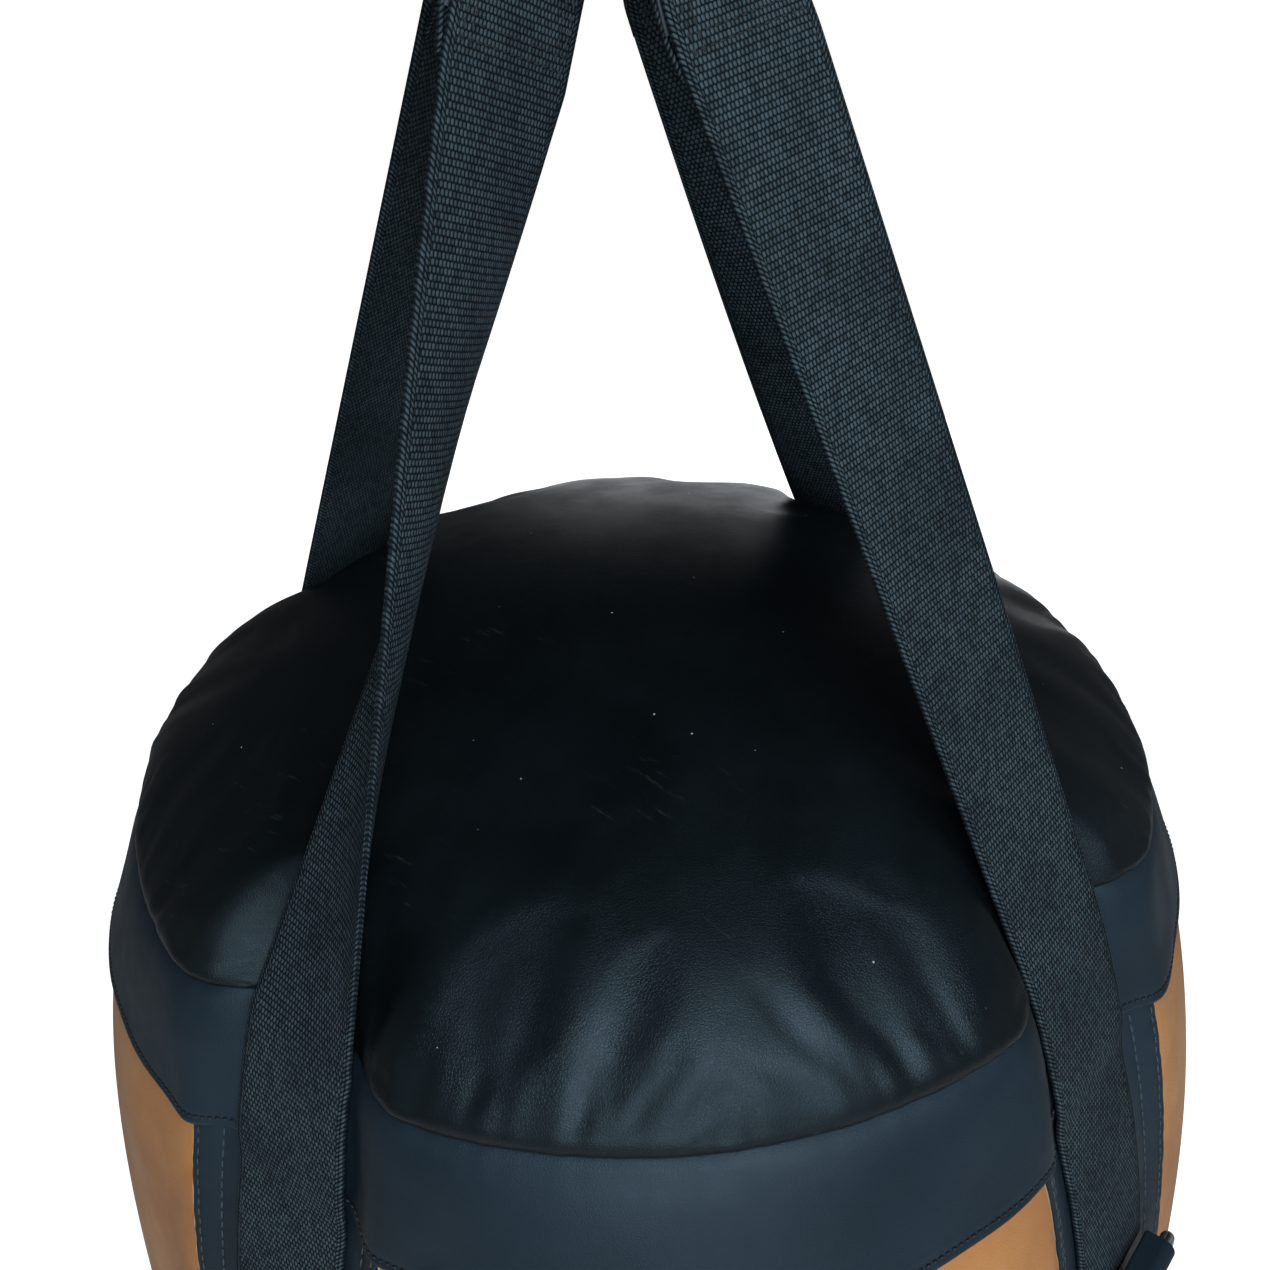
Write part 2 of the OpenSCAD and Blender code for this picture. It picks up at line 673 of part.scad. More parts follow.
module crown_pad() color([0.60, 0.58, 0.55]) {
    translate([0, 0, 0.01])
        dome_shell(skin_wall + layer_gap, 48);
    crown_plug();
}
// the pad goes on down inside the collar, to the top of the filling
module crown_plug()
    translate([0, 0, seam_z - body_top + face_gap])
        cylinder(r = seam_r - seam_pinch - strap_bed - 2 * skin_wall,
            h = body_top - face_gap + 1, $fn = fine);

swivel_eye();
stem_nut();
thrust_bearing();
swivel_jaw();
jaw_bolt();
jaw_nut();
hanger_plate();
lug_bush();
strap(RIGHT);  // strap_right
strap(BACK, -1, 28);  // strap_back
strap(LEFT);  // strap_left
strap(FRONT, 1, 28);  // strap_front
loop_lining(RIGHT);  // lining_right
loop_lining(BACK, -1);  // lining_back
loop_lining(LEFT);  // lining_left
loop_lining(FRONT, 1);  // lining_front
dome_cover();
collar_band();
leather_panel(RIGHT);  // panel_back_right
leather_panel(BACK);  // panel_back_left
leather_panel(LEFT);  // panel_front_left
leather_panel(FRONT);  // panel_front_right
leather_strip(RIGHT);  // strip_right
leather_strip(BACK);  // strip_back
leather_strip(LEFT);  // strip_left
leather_strip(FRONT);  // strip_front
base_band();
base_cover();
base_zip();
zip_slider();
zip_puller();
vent_eyelets();
ring_tab(RIGHT);  // tab_right
ring_tab(BACK);  // tab_back
ring_tab(LEFT);  // tab_left
ring_tab(FRONT);  // tab_front
d_ring(RIGHT);  // ring_right
d_ring(BACK);  // ring_back
d_ring(LEFT);  // ring_left
d_ring(FRONT);  // ring_front
foam_sleeve();
crown_pad();
filling();
sand_core();
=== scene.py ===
# %% [markdown]
# # A wide heavy bag on a four-strap harness
# The real thing is a stuffed leather drum that hangs from one swivel. Four flat webbing straps
# run from a barred steel plate down over a padded dome and on down the sides. Everything here
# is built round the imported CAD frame, so each piece lies where the metal and the fabric are.

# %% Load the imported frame
import math
import bpy
import bmesh
import numpy as np
from mathutils import Matrix, Vector


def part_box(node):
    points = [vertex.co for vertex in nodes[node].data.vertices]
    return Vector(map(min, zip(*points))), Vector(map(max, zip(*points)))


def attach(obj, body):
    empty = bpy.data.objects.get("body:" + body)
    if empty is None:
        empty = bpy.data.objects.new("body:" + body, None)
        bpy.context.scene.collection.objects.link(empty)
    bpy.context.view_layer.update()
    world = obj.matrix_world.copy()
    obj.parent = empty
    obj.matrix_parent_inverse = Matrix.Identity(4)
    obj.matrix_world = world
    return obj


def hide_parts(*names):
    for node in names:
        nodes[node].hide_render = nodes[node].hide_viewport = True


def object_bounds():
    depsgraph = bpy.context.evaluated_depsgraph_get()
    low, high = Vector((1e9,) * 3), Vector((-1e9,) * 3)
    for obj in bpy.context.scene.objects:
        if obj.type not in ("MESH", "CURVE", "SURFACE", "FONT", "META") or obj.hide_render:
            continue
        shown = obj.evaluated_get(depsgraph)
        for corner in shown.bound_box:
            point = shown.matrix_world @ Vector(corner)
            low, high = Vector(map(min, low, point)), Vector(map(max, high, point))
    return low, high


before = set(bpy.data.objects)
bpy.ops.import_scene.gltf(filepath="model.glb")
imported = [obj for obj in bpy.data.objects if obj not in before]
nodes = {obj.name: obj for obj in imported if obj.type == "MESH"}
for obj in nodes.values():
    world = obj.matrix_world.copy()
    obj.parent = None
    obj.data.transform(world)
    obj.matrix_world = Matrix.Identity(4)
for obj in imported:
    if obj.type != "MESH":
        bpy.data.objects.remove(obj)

MM = 0.001
scene = bpy.context.scene
cad_low, cad_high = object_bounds()
print("CAD box", [round(v, 3) for v in cad_low], [round(v, 3) for v in cad_high])


def put(name, data):
    """Puts a mesh, a curve, a lamp or a camera into the scene as an object."""
    made = bpy.data.objects.new(name, data)
    scene.collection.objects.link(made)
    return made

# %% [markdown]
# ## Camera
# A camera set by a distance, a height and three small angles is easy to tune. It stands in
# front of one gap between two straps, level with the hanger, and looks down on the dome.

# %% Place the camera
seam_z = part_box("collar_band")[1].z + 0.3 * MM
azimuth, pitch, yaw, roll = math.radians(38.62), 0.5844, -0.0368, -0.0645
stand_off, above_seam = 0.4425, 0.3523
spin = Matrix.Rotation(azimuth, 3, "Z")
ahead = spin @ Vector((
    math.sin(yaw) * math.cos(pitch), math.cos(yaw) * math.cos(pitch), -math.sin(pitch)))
level = spin @ Vector((math.cos(yaw), -math.sin(yaw), 0))
rise = level.cross(ahead)
right = math.cos(roll) * level + math.sin(roll) * rise
up = math.cos(roll) * rise - math.sin(roll) * level
eye = spin @ Vector((0, -stand_off, 0)) + Vector((0, 0, seam_z + above_seam))

camera = put("camera", bpy.data.cameras.new("camera"))
camera.data.lens, camera.data.sensor_width = 42.52, 36
camera.data.shift_x, camera.data.shift_y = 0.0405, -0.0137
camera.data.clip_start, camera.data.clip_end = 0.01, 60
camera.matrix_world = Matrix.Translation(eye) @ Matrix((right, up, -ahead)).transposed().to_4x4()
scene.camera = camera
print("camera at", [round(v, 3) for v in camera.matrix_world.translation])

# %% [markdown]
# ## Node helper
# A finish, the sky and a row of stitches are each a small graph of nodes. Building one by hand
# takes a line for each node and each link, so this helper makes a node, and sets or links its
# inputs, in one call.

# %% A helper that builds node graphs
def linear(r, g, b):
    """Linear colour from the 0-255 values of a paint chart."""
    shares = (v / 255 for v in (r, g, b))
    return tuple(s / 12.92 if s <= 0.0404 else ((s + 0.055) / 1.055) ** 2.4 for s in shares)


class Graph:
    """Makes nodes in one tree. A node's inputs are sockets to link, or plain values."""
    def __init__(self, tree):
        self.tree = tree

    def feed(self, socket, value):
        if isinstance(value, bpy.types.NodeSocket):
            self.tree.links.new(value, socket)
        elif value is not None:
            socket.default_value = value

    def node(self, kind, inputs=(), out=0, **settings):
        made = self.tree.nodes.new(kind)
        for name, value in settings.items():
            setattr(made, name, value)
        for key, value in dict(inputs).items():
            self.feed(made.inputs[key], value)
        return made.outputs[out]

    def math(self, operation, a, b=None):
        return self.node("ShaderNodeMath", {0: a, 1: b}, operation=operation)

    def times(self, a, b):
        return self.math("MULTIPLY", a, b)

    def noise(self, where, size, detail=3.0):
        """A noise whose features are about size metres across."""
        return self.node("ShaderNodeTexNoise", {
            "Vector": where, "Scale": 1 / size, "Detail": detail, "Roughness": 0.55})

    def streaks(self, where, rotation, scale, detail, rough=0.5):
        """A noise that is drawn out by different scales along three turned axes."""
        stretched = self.node("ShaderNodeMapping",
            {"Vector": where, "Rotation": rotation, "Scale": scale}, vector_type="POINT")
        return self.node("ShaderNodeTexNoise",
            {"Vector": stretched, "Scale": 1.0, "Detail": detail, "Roughness": rough})

    def band(self, value, low, high, bottom=0.0, top=1.0, step="SMOOTHSTEP"):
        """Goes from bottom to top as value goes from low to high."""
        return self.node("ShaderNodeMapRange", {"Value": value, "From Min": low, "From Max": high,
            "To Min": bottom, "To Max": top}, interpolation_type=step)

    def blend(self, share, a, b):
        """Mixes two colours, which are sockets or a paint chart's red, green and blue."""
        a, b = ((*linear(*c), 1) if isinstance(c, tuple) else c for c in (a, b))
        return self.node("ShaderNodeMix", {0: share, 6: a, 7: b}, out=2, data_type="RGBA")

    def bump(self, height, distance, under=None, strength=1.0):
        return self.node("ShaderNodeBump", {"Height": height, "Distance": distance,
            "Strength": strength, "Normal": under})

    def here(self):
        """The place on the piece, in metres."""
        return self.node("ShaderNodeTexCoord", out=3)


SLOTS = {}


class Finish(Graph):
    """One material; set gives its shader's inputs and files it under its name."""
    def __init__(self, name):
        self.name = name
        self.material = bpy.data.materials.new(name)
        self.material.use_nodes = True
        super().__init__(self.material.node_tree)
        self.shader = self.tree.nodes["Principled BSDF"]

    def set(self, **inputs):
        for name, value in inputs.items():
            value = (*value, 1) if isinstance(value, tuple) and len(value) == 3 else value
            self.feed(self.shader.inputs[name.replace("_", " ")], value)
        SLOTS[self.name] = self.material

# %% [markdown]
# ## Floor and light
# The bag hangs just clear of a pale floor. A key lamp stands high beside the camera, a low one
# lights the collar from the front, a faint one fills the left, and one low behind shows the bag's
# far side. The world's glow is strongest level with the front and dim overhead, so the dark dome
# keeps its depth while its front edge shines.

# %% Floor
bpy.ops.mesh.primitive_plane_add(size=60, location=(0, 0, cad_low.z - 0.10))
floor = bpy.context.object
floor.name = "floor"
f = Finish("floor_paper")
paper = f.blend(f.noise(f.here(), 0.9), (238, 238, 238), (243, 243, 243))
glow = f.times(f.node("ShaderNodeLightPath"), 0.95)
f.set(Base_Color=paper, Roughness=0.9, Emission_Color=(1, 1, 1), Emission_Strength=glow)
floor.data.materials.append(f.material)

# %% Lamps and world
def lamp(name, azimuth, elevation, distance, size, watts):
    """A square area lamp that looks at the top of the bag."""
    made = put(name, bpy.data.lights.new(name, "AREA"))
    a, e = math.radians(azimuth), math.radians(elevation)
    away = Vector((math.cos(a) * math.cos(e), math.sin(a) * math.cos(e), math.sin(e)))
    made.location = Vector((0, 0, seam_z)) + away * distance
    made.rotation_euler = away.to_track_quat("Z", "Y").to_euler()
    made.data.size, made.data.energy, made.data.color = size, watts, (0.94, 0.98, 1.0)


lamp("key", -34, 46, 1.9, 1.0, 26)
lamp("fill", -100, 24, 2.3, 1.5, 1)
lamp("low_front", -46, 6, 2.6, 1.1, 22)
lamp("back", 118, -14, 2.6, 1.5, 9)

world = bpy.data.worlds.new("studio")
world.use_nodes = True
scene.world = world
sky = Graph(world.node_tree)
background = sky.tree.nodes["Background"]
way = sky.node("ShaderNodeTexCoord")
height = sky.node("ShaderNodeSeparateXYZ", {0: way}, out=2)
front = (math.cos(math.radians(-40)), math.sin(math.radians(-40)), 0)
ahead = sky.node("ShaderNodeVectorMath", {0: way, 1: front}, out=1, operation="DOT_PRODUCT")
strength = sky.times(sky.band(height, 0.05, 0.75, 0.50, 0.03, "LINEAR"),
    sky.band(ahead, -1.0, 1.0, 0.08, 1.0, "LINEAR"))
seen = sky.node("ShaderNodeMix", {0: sky.node("ShaderNodeLightPath"), 2: strength, 3: 1.0},
    data_type="FLOAT")
sky.feed(background.inputs["Strength"], seen)
background.inputs["Color"].default_value = (1, 1, 1, 1)
scene.view_settings.view_transform = "Standard"

# %% [markdown]
# ## The rule that shapes the bag
# Every skin of a stuffed bag follows one outline: drawn in under each strap, full between the
# straps, wider below the hem. Writing it once, as a function of the turn round the bag and the
# depth below the seam, makes every piece fit the next. It is the same rule as the CAD's.

# %% The outline
seam_r, dome_h, collar_h, hem_flare, belly_swell = 183.0, 66.0, 51.0, 17.0, 27.0
body_len = (seam_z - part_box("base_band")[0].z) / MM
seam_pinch, strap_bed, body_inset = 17.0, 2.5, 3.4
belly_rise, belly_fall, lobe_share, lobe_fade = 80.0, 60.0, 0.027, 350.0
pinch_fade, pinch_w, left_pinch, left_w = 200.0, 11.0, 0.25, 24.0
strip_w, skin_wall = 90.0, 3.0


def unit(t):
    return np.clip(t, 0.0, 1.0)


def smooth(t):
    t = unit(t)
    return t * t * (3 - 2 * t)


def off_strap(a):
    """Degrees from the middle of the nearest strap."""
    return np.minimum(a % 90, 90 - a % 90)


def mean_r(d):
    """Radius at d millimetres below the seam, with no lobes and no hollows."""
    below = np.maximum(0, d - collar_h)
    above_base = np.maximum(0, body_len - d)
    return (seam_r + hem_flare * unit(d / collar_h) ** 0.85
        + belly_swell * (1 - np.exp(-below / belly_rise)) * (1 - np.exp(-above_base / belly_fall)))


def hollow(a, d):
    """Share of the hollow under a strap: round at the seam, flat below the hem."""
    return np.exp(-(off_strap(a) / pinch_w) ** (3.5 + 4.5 * unit(d / collar_h)))


def skin_r(a, d):
    """Radius of the outline in millimetres, at a degrees and d millimetres below the seam."""
    below = np.maximum(0, d - collar_h)
    lobe = lobe_share * unit(d / collar_h) * (0.3 + 0.7 * np.exp(-below / lobe_fade))
    drawn = seam_pinch * (1 - 0.35 * unit(d / collar_h)) * np.exp(-below / pinch_fade)
    drawn = drawn * (1 + left_pinch * np.exp(-((a % 360 - 180) / left_w) ** 2))
    return mean_r(d) * (1 - lobe * np.cos(np.radians(4 * a))) - drawn * hollow(a, d)


def spot(a, r, d):
    """Points in metres from a turn in degrees, a radius and a depth in millimetres."""
    a, r, d = np.broadcast_arrays(np.radians(a), r, d)
    return np.stack([r * np.cos(a) * MM, r * np.sin(a) * MM, seam_z - d * MM], -1)


widest = float(2 * skin_r(45, 300))
print("seam at", round(seam_z, 4), "m; bag", round(body_len), "mm long; widest", round(widest), "mm")

# %% [markdown]
# ## Mesh helper
# Most skins are grids: points numbered round the bag and down it. One helper turns such a grid
# into a mesh, writes its texture coordinates in metres, and stores how far each point is from
# the nearest sewn edge, which the leather uses for a pale line of painted highlight along it.

# %% Grid to mesh
def as_object(name, verts, faces, finish, uvs=None, edge=None):
    mesh = bpy.data.meshes.new(name)
    mesh.from_pydata([tuple(v) for v in verts], [], [tuple(q) for q in faces])
    if uvs is not None:
        layer = mesh.uv_layers.new(name="UVMap")
        loops = np.zeros(len(mesh.loops), np.int32)
        mesh.loops.foreach_get("vertex_index", loops)
        layer.data.foreach_set("uv", np.asarray(uvs, np.float32).reshape(-1, 2)[loops].ravel())
    if edge is not None:
        stored = mesh.attributes.new("to_edge", "FLOAT", "POINT")
        stored.data.foreach_set("value", np.asarray(edge, np.float32).ravel())
    mesh.polygons.foreach_set("use_smooth", [True] * len(mesh.polygons))
    mesh.materials.append(SLOTS[finish])
    mesh.update()
    return put(name, mesh)


def grid_object(name, points, finish, uvs=None, edge=None, closed_round=False, closed_down=False):
    """points[i, j] runs round the bag with i and down it with j; its faces look outwards."""
    nu, nv = points.shape[:2]
    last_u, last_v = nu - (not closed_round), nv - (not closed_down)
    i, j = np.meshgrid(np.arange(last_u), np.arange(last_v), indexing="ij")
    ni, nj = (i + 1) % nu, (j + 1) % nv
    faces = np.stack([i * nv + j, i * nv + nj, ni * nv + nj, ni * nv + j], -1).reshape(-1, 4)
    return as_object(name, points.reshape(-1, 3), faces, finish, uvs, edge)


def metres(across, along):
    """Texture coordinates in metres from two fields in millimetres."""
    return np.stack(np.broadcast_arrays(across * MM, along * MM), -1)


def evaluated(piece):
    """A new mesh of a piece as its modifiers leave it."""
    return bpy.data.meshes.new_from_object(piece.evaluated_get(bpy.context.evaluated_depsgraph_get()))


def repair(piece, fill=True, outwards=True):
    """Closes a mesh's open ends and turns its faces outwards."""
    work = bmesh.new()
    work.from_mesh(piece.data)
    if fill:
        bmesh.ops.holes_fill(work, edges=[e for e in work.edges if e.is_boundary], sides=0)
    if outwards:
        bmesh.ops.recalc_face_normals(work, faces=work.faces[:])
    bmesh.ops.triangulate(work, faces=[face for face in work.faces if len(face.verts) > 4])
    work.to_mesh(piece.data)
    work.free()


def add_wall(piece, even=False):
    """Gives a leather skin its thickness, inwards."""
    wall = piece.modifiers.new("wall", "SOLIDIFY")
    wall.thickness, wall.offset, wall.use_even_offset = skin_wall * MM, -1, even
    return piece


def turned_by(points, turn):
    """Points turned about the bag's axis by turn degrees."""
    c, s = math.cos(math.radians(turn)), math.sin(math.radians(turn))
    x, y = points[..., 0], points[..., 1]
    return np.stack([x * c - y * s, x * s + y * c, points[..., 2]], -1)


def along_line(line):
    """Length from the start of a line to each of its points."""
    return np.concatenate([[0], np.cumsum(np.linalg.norm(np.diff(line, axis=0), axis=1))])


def waves(seed, lengths, x):
    """A repeatable sum of sines along x, one for each wavelength."""
    rng = np.random.default_rng(seed)
    return sum(np.sin(2 * np.pi * (x / w + rng.random())) for w in lengths) / len(lengths)

# %% [markdown]
# ## Leather
# Smooth upholstery leather has a tight pebble grain, slow shifts of tone, faint scuffs and a soft
# satin shine. All of it comes from noises at real sizes in metres, so the grain keeps its scale
# on every piece. The stored distance to a sewn edge places a pale line of painted highlight along it.

# %% Leather finishes
def leather(name, deep, lit, grain=0.9, gloss=(0.40, 0.56), relief=0.06, edge_highlight=None, dust=0.0,
        scuff=0.0, tint=(1.0, 1.0, 1.0), shine_level=0.5):
    """grain and relief are in mm; gloss is the least and most roughness."""
    f = Finish(name)
    here = f.here()
    slow = f.noise(here, 0.07, 4)
    cloudy = f.noise(here, 0.011, 3)
    tone = f.blend(f.band(slow, 0.3, 0.7), deep, lit)
    tone = f.blend(f.band(cloudy, 0.35, 0.75, 0.0, 0.25), tone, lit)
    pebble = f.node("ShaderNodeTexVoronoi",
        {"Vector": here, "Scale": 1000 / grain, "Randomness": 0.9}, feature="DISTANCE_TO_EDGE")
    pores = f.noise(here, grain * 0.45 * MM, 2)
    if scuff:
        marks = f.streaks(here, (0.3, 0.2, 0.8), (60, 420, 200), 4.0, 0.7)
        worn = f.times(f.band(marks, 0.60, 0.78), f.band(f.noise(here, 0.045, 2), 0.5, 0.7))
        tone = f.blend(f.times(worn, scuff), tone, (58, 70, 68))
    # Painted highlight: a pale line along each sewn edge, where light would catch the panel's edge.
    if edge_highlight is not None:
        edge = f.node("ShaderNodeAttribute", out=2, attribute_name="to_edge")
        tone = f.blend(f.band(edge, 0.0010, 0.0004), tone, edge_highlight)
    if dust:
        cells = {"Vector": here, "Scale": 210.0, "Randomness": 1.0}
        grit, pick = (f.node("ShaderNodeTexVoronoi", cells, out=k, feature="F1") for k in (0, 1))
        few = f.band(f.node("ShaderNodeSeparateColor", {0: pick}), 0.93, 0.97)
        specks = f.times(f.band(grit, 0.085, 0.05), few)
        tone = f.blend(f.times(specks, dust), tone, (190, 200, 205))
    skin = f.bump(f.band(pebble, 0.0, 0.22), relief * MM, None, 0.55)
    skin = f.bump(pores, relief * 0.5 * MM, skin, 0.5)
    skin = f.bump(cloudy, 0.35 * MM, skin, 0.35)
    shine = f.band(f.noise(here, 0.03, 3), 0.3, 0.7, gloss[0], gloss[1])
    f.set(Base_Color=tone, Roughness=shine, Normal=skin, Specular_IOR_Level=shine_level,
        Specular_Tint=tint)


leather("navy_leather", (19, 31, 40), (26, 40, 51), gloss=(0.42, 0.55),
    tint=(0.62, 0.82, 1.0), shine_level=0.35)
leather("dome_leather", (5, 9, 11), (10, 16, 20), gloss=(0.34, 0.46),
    dust=0.8, scuff=0.5, tint=(0.55, 0.80, 1.0), shine_level=0.35)
# The tan leather's pale edge colour is a painted highlight along its sewn edges.
leather("tan_leather", (160, 106, 60), (188, 132, 78), grain=1.1,
    gloss=(0.34, 0.48), relief=0.09, edge_highlight=(222, 196, 160))

# %% [markdown]
# ## Webbing
# Heavy polyester webbing is a rib weave: ribs run across the strap with gaps between their
# bumps, which shift by half a step from rib to rib, and a flat twill band lies along each edge.
# The weave's relief also sets its colour, so the gaps are painted dark as shade.
# The pattern follows the strap, so it reads the strap's own texture coordinates, which are metres
# across and along it.

# %% Webbing and thread finishes
web_w, rib_pitch, bump_pitch, twill_pitch = 50.0, 1.9 * MM, 1.5 * MM, 1.7 * MM
twill_w = 2.9 * MM


def webbing(name, gap, yarn):
    f = Finish(name)
    place = f.node("ShaderNodeUVMap", uv_map="UVMap")
    across, along = (f.node("ShaderNodeSeparateXYZ", {0: place}, out=k) for k in (0, 1))
    row = f.math("DIVIDE", along, rib_pitch)
    shift = f.times(f.math("FLOORED_MODULO", f.math("FLOOR", row), 2.0), 0.5)
    column = f.math("ADD", f.math("DIVIDE", across, bump_pitch), shift)

    def crown(value, flat):
        """1 on the middle of each step, falling to 0 at its ends."""
        off = f.times(f.math("SUBTRACT", f.math("FRACT", value), 0.5), 2.0)
        return f.math("SUBTRACT", 1.0, f.math("POWER", f.math("ABSOLUTE", off), flat))

    rib = f.math("ADD", 0.2, f.times(crown(row, 3.0), 0.8))
    knuckle = f.times(rib, crown(column, 2.6))
    edge = f.math("MINIMUM", across, f.math("SUBTRACT", web_w * MM, across))
    twill = crown(f.math("DIVIDE", f.math("ADD", along, edge), twill_pitch), 2.0)
    twill = f.times(twill, crown(f.math("DIVIDE", edge, bump_pitch), 3.0))
    inside = f.band(edge, twill_w, twill_w + 0.3 * MM)
    woven = f.node("ShaderNodeMix", {0: inside, 2: twill, 3: knuckle}, data_type="FLOAT")
    cell = f.node("ShaderNodeCombineXYZ", {0: f.math("FLOOR", column), 1: f.math("FLOOR", row)})
    each = f.node("ShaderNodeTexWhiteNoise", {"Vector": cell}, noise_dimensions="3D")
    fibre = f.noise(f.here(), 0.25 * MM, 2)
    share = f.times(woven, f.math("ADD", 0.6, f.times(each, 0.4)))
    # The weave's height sets the colour: painted shade makes the gaps dark, the bump tops stay light.
    tone = f.blend(f.band(share, 0.15, 0.9), gap, yarn)
    tone = f.blend(f.band(f.noise(f.here(), 0.04, 3), 0.35, 0.7, 0.0, 0.35), tone, gap)
    relief = f.bump(woven, 0.45 * MM, f.bump(fibre, 0.05 * MM, None, 0.5), 0.9)
    f.set(Base_Color=tone, Roughness=0.82, Normal=relief, Specular_IOR_Level=0.2,
        Specular_Tint=(0.7, 0.88, 1.0))


def thread(name, dark, light):
    f = Finish(name)
    here = f.here()
    tone = f.blend(f.band(f.noise(here, 0.4 * MM, 2), 0.35, 0.65), dark, light)
    f.set(Base_Color=tone, Roughness=0.6, Normal=f.bump(f.noise(here, 0.25 * MM, 1), 0.1 * MM))


# The first colour is the painted shade in the weave's gaps, the second the yarn.
webbing("webbing", (2, 7, 10), (66, 82, 92))
thread("thread_blue", (40, 52, 60), (70, 84, 92))
thread("thread_dark", (12, 17, 20), (30, 38, 44))

# %% [markdown]
# ## Metal, vinyl and the rest
# Forged parts are dark and slightly scaly, plated parts are bright with fine scratches, and the
# bush is bronze. Each finish is one graph with its own colours and roughness.

# %% Metal finishes
def metal(name, deep, lit, rough, scale=0.0):
    """scale is the depth in mm of a forged part's skin."""
    f = Finish(name)
    here = f.here()
    tone = f.blend(f.band(f.noise(here, 0.006, 4), 0.35, 0.65), deep, lit)
    lines = f.streaks(here, (0.5, 0.3, 0.2), (300, 300, 4000), 2.0)
    relief = f.bump(lines, 0.02 * MM, None, 0.4)
    if scale:
        relief = f.bump(f.noise(here, 0.0022, 4), scale * MM, relief, 0.6)
    shine = f.band(f.noise(here, 0.009, 3), 0.3, 0.7, rough * 0.85, rough * 1.25)
    f.set(Base_Color=tone, Metallic=1.0, Roughness=shine, Normal=relief)


metal("forged_steel", (78, 80, 84), (112, 114, 118), 0.42, scale=0.25)
metal("plated_steel", (176, 178, 180), (206, 208, 210), 0.22)
metal("dark_nut", (52, 54, 58), (78, 80, 84), 0.38)
metal("bronze", (150, 116, 62), (190, 150, 88), 0.34)
metal("eyelet_metal", (150, 160, 148), (184, 194, 182), 0.30)
metal("zip_teeth", (60, 62, 66), (92, 94, 98), 0.35)

# %% Vinyl, foam and cloth finishes
def plain(name, deep, lit, rough, grain, relief):
    f = Finish(name)
    here = f.here()
    tone = f.blend(f.band(f.noise(here, grain * 6, 3), 0.35, 0.65), deep, lit)
    f.set(Base_Color=tone, Roughness=rough, Normal=f.bump(f.noise(here, grain, 3), relief, None, 0.6))


# The vinyl's light blue-grey is partly its own colour and partly a painted highlight on a navy material
# like the collar's.
plain("vinyl", (58, 70, 80), (74, 86, 96), 0.42, 0.8 * MM, 0.05 * MM)
plain("wadding", (150, 146, 138), (186, 182, 172), 0.95, 2.5 * MM, 0.8 * MM)
plain("zip_tape", (14, 18, 21), (26, 31, 35), 0.85, 0.6 * MM, 0.15 * MM)
print("finishes", sorted(SLOTS))


def join_frame(piece, slot, *stands_for, body="bag"):
    """The piece rides on a body and stands for CAD nodes, which it hides; slot is not used."""
    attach(piece, body)
    if stands_for:
        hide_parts(*stands_for)
    return piece

# %% [markdown]
# ## The dome
# The top is a leather cap, cut a little too big and gathered into the seam, then stuffed hard.
# A square grid bent into a disc gives even faces with no pole. The gathers are first drawn as
# waves that fade up the dome; then cloth, which grows a little while its rim is held and air
# presses from below, adds the small creases that such a seam really gets.

# %% Dome profile and gathers
rim_lift = 5.0


def dome_profile(steps=400):
    """Radius share, height in mm and length along the skin in mm, from the crown to the rim."""
    s = np.sin(np.linspace(0, np.pi / 2, steps))
    z = rim_lift + (dome_h - rim_lift) * np.maximum(0, 1 - s * s) ** 0.69
    run = np.concatenate([[0], np.cumsum(np.hypot(np.diff(s * seam_r), np.diff(z)))])
    return s, z, run


def cap_r(a, share):
    """Radius of the cap in mm; the hollows under the straps fade up the dome."""
    return share * (seam_r - (seam_pinch + strap_bed) * hollow(a, 0) * share ** 4)


def gathers(a, q):
    """Height in mm of the folds at a degrees and q millimetres up from the seam."""
    arc = np.radians(a) * seam_r + 1.2 * np.sin(q / 9 + a / 11)
    near = np.exp(-(off_strap(a) / 21) ** 2)
    free = 1 - 0.85 * np.exp(-(off_strap(a) / 9.5) ** 6)
    round_bag = 2 * np.pi * seam_r
    fine = waves(3, [round_bag / n for n in (71, 97, 118, 149)], arc)
    broad = waves(5, [round_bag / n for n in (19, 27, 34, 43)], arc)
    rise = 1 - 0.6 * np.exp(-np.maximum(q, 0) / 5)
    short = fine * (0.55 + 1.2 * near) * np.exp(-(q / 15) ** 1.3)
    long = broad * (0.7 + 0.9 * near) * np.exp(-(q / 42) ** 1.5)
    return free * rise * (short + long)


# %% Dome grid
half = 64
share, height, run = dome_profile()
steps = np.arange(-half, half + 1.0)
u, v = (side.ravel() for side in np.meshgrid(steps, steps, indexing="ij"))
ring = np.maximum(np.abs(u), np.abs(v))
with np.errstate(divide="ignore", invalid="ignore"):
    by_u = np.pi / 4 * v / u + np.where(u < 0, np.pi, 0)
    by_v = np.pi / 2 - np.pi / 4 * u / v + np.where(v < 0, np.pi, 0)
angle = np.where(np.abs(u) >= np.abs(v), by_u, by_v)
angle = np.degrees(np.where(ring == 0, 0, angle)) % 360
reach = run[-1] * (ring / half) ** 0.96
radius = cap_r(angle, np.interp(reach, run, share))
level_z = np.interp(reach, run, height)
q = run[-1] - reach
cap_points = spot(angle, radius, -level_z)
n = len(steps)
i, j = np.meshgrid(np.arange(n - 1), np.arange(n - 1), indexing="ij")
cap_faces = np.stack([i * n + j, i * n + n + j, i * n + n + j + 1, i * n + j + 1], -1).reshape(-1, 4)
dome = as_object("dome", cap_points, cap_faces, "dome_leather")
print("dome grid", len(cap_points), "points, skin", round(run[-1]), "mm from crown to rim")

# %% Settle the dome as cloth
cloth_growth, cloth_pressure, cloth_frames = 0.016, 1.2, 20
cloth_share, cloth_limit = 0.5, 1.2 * MM


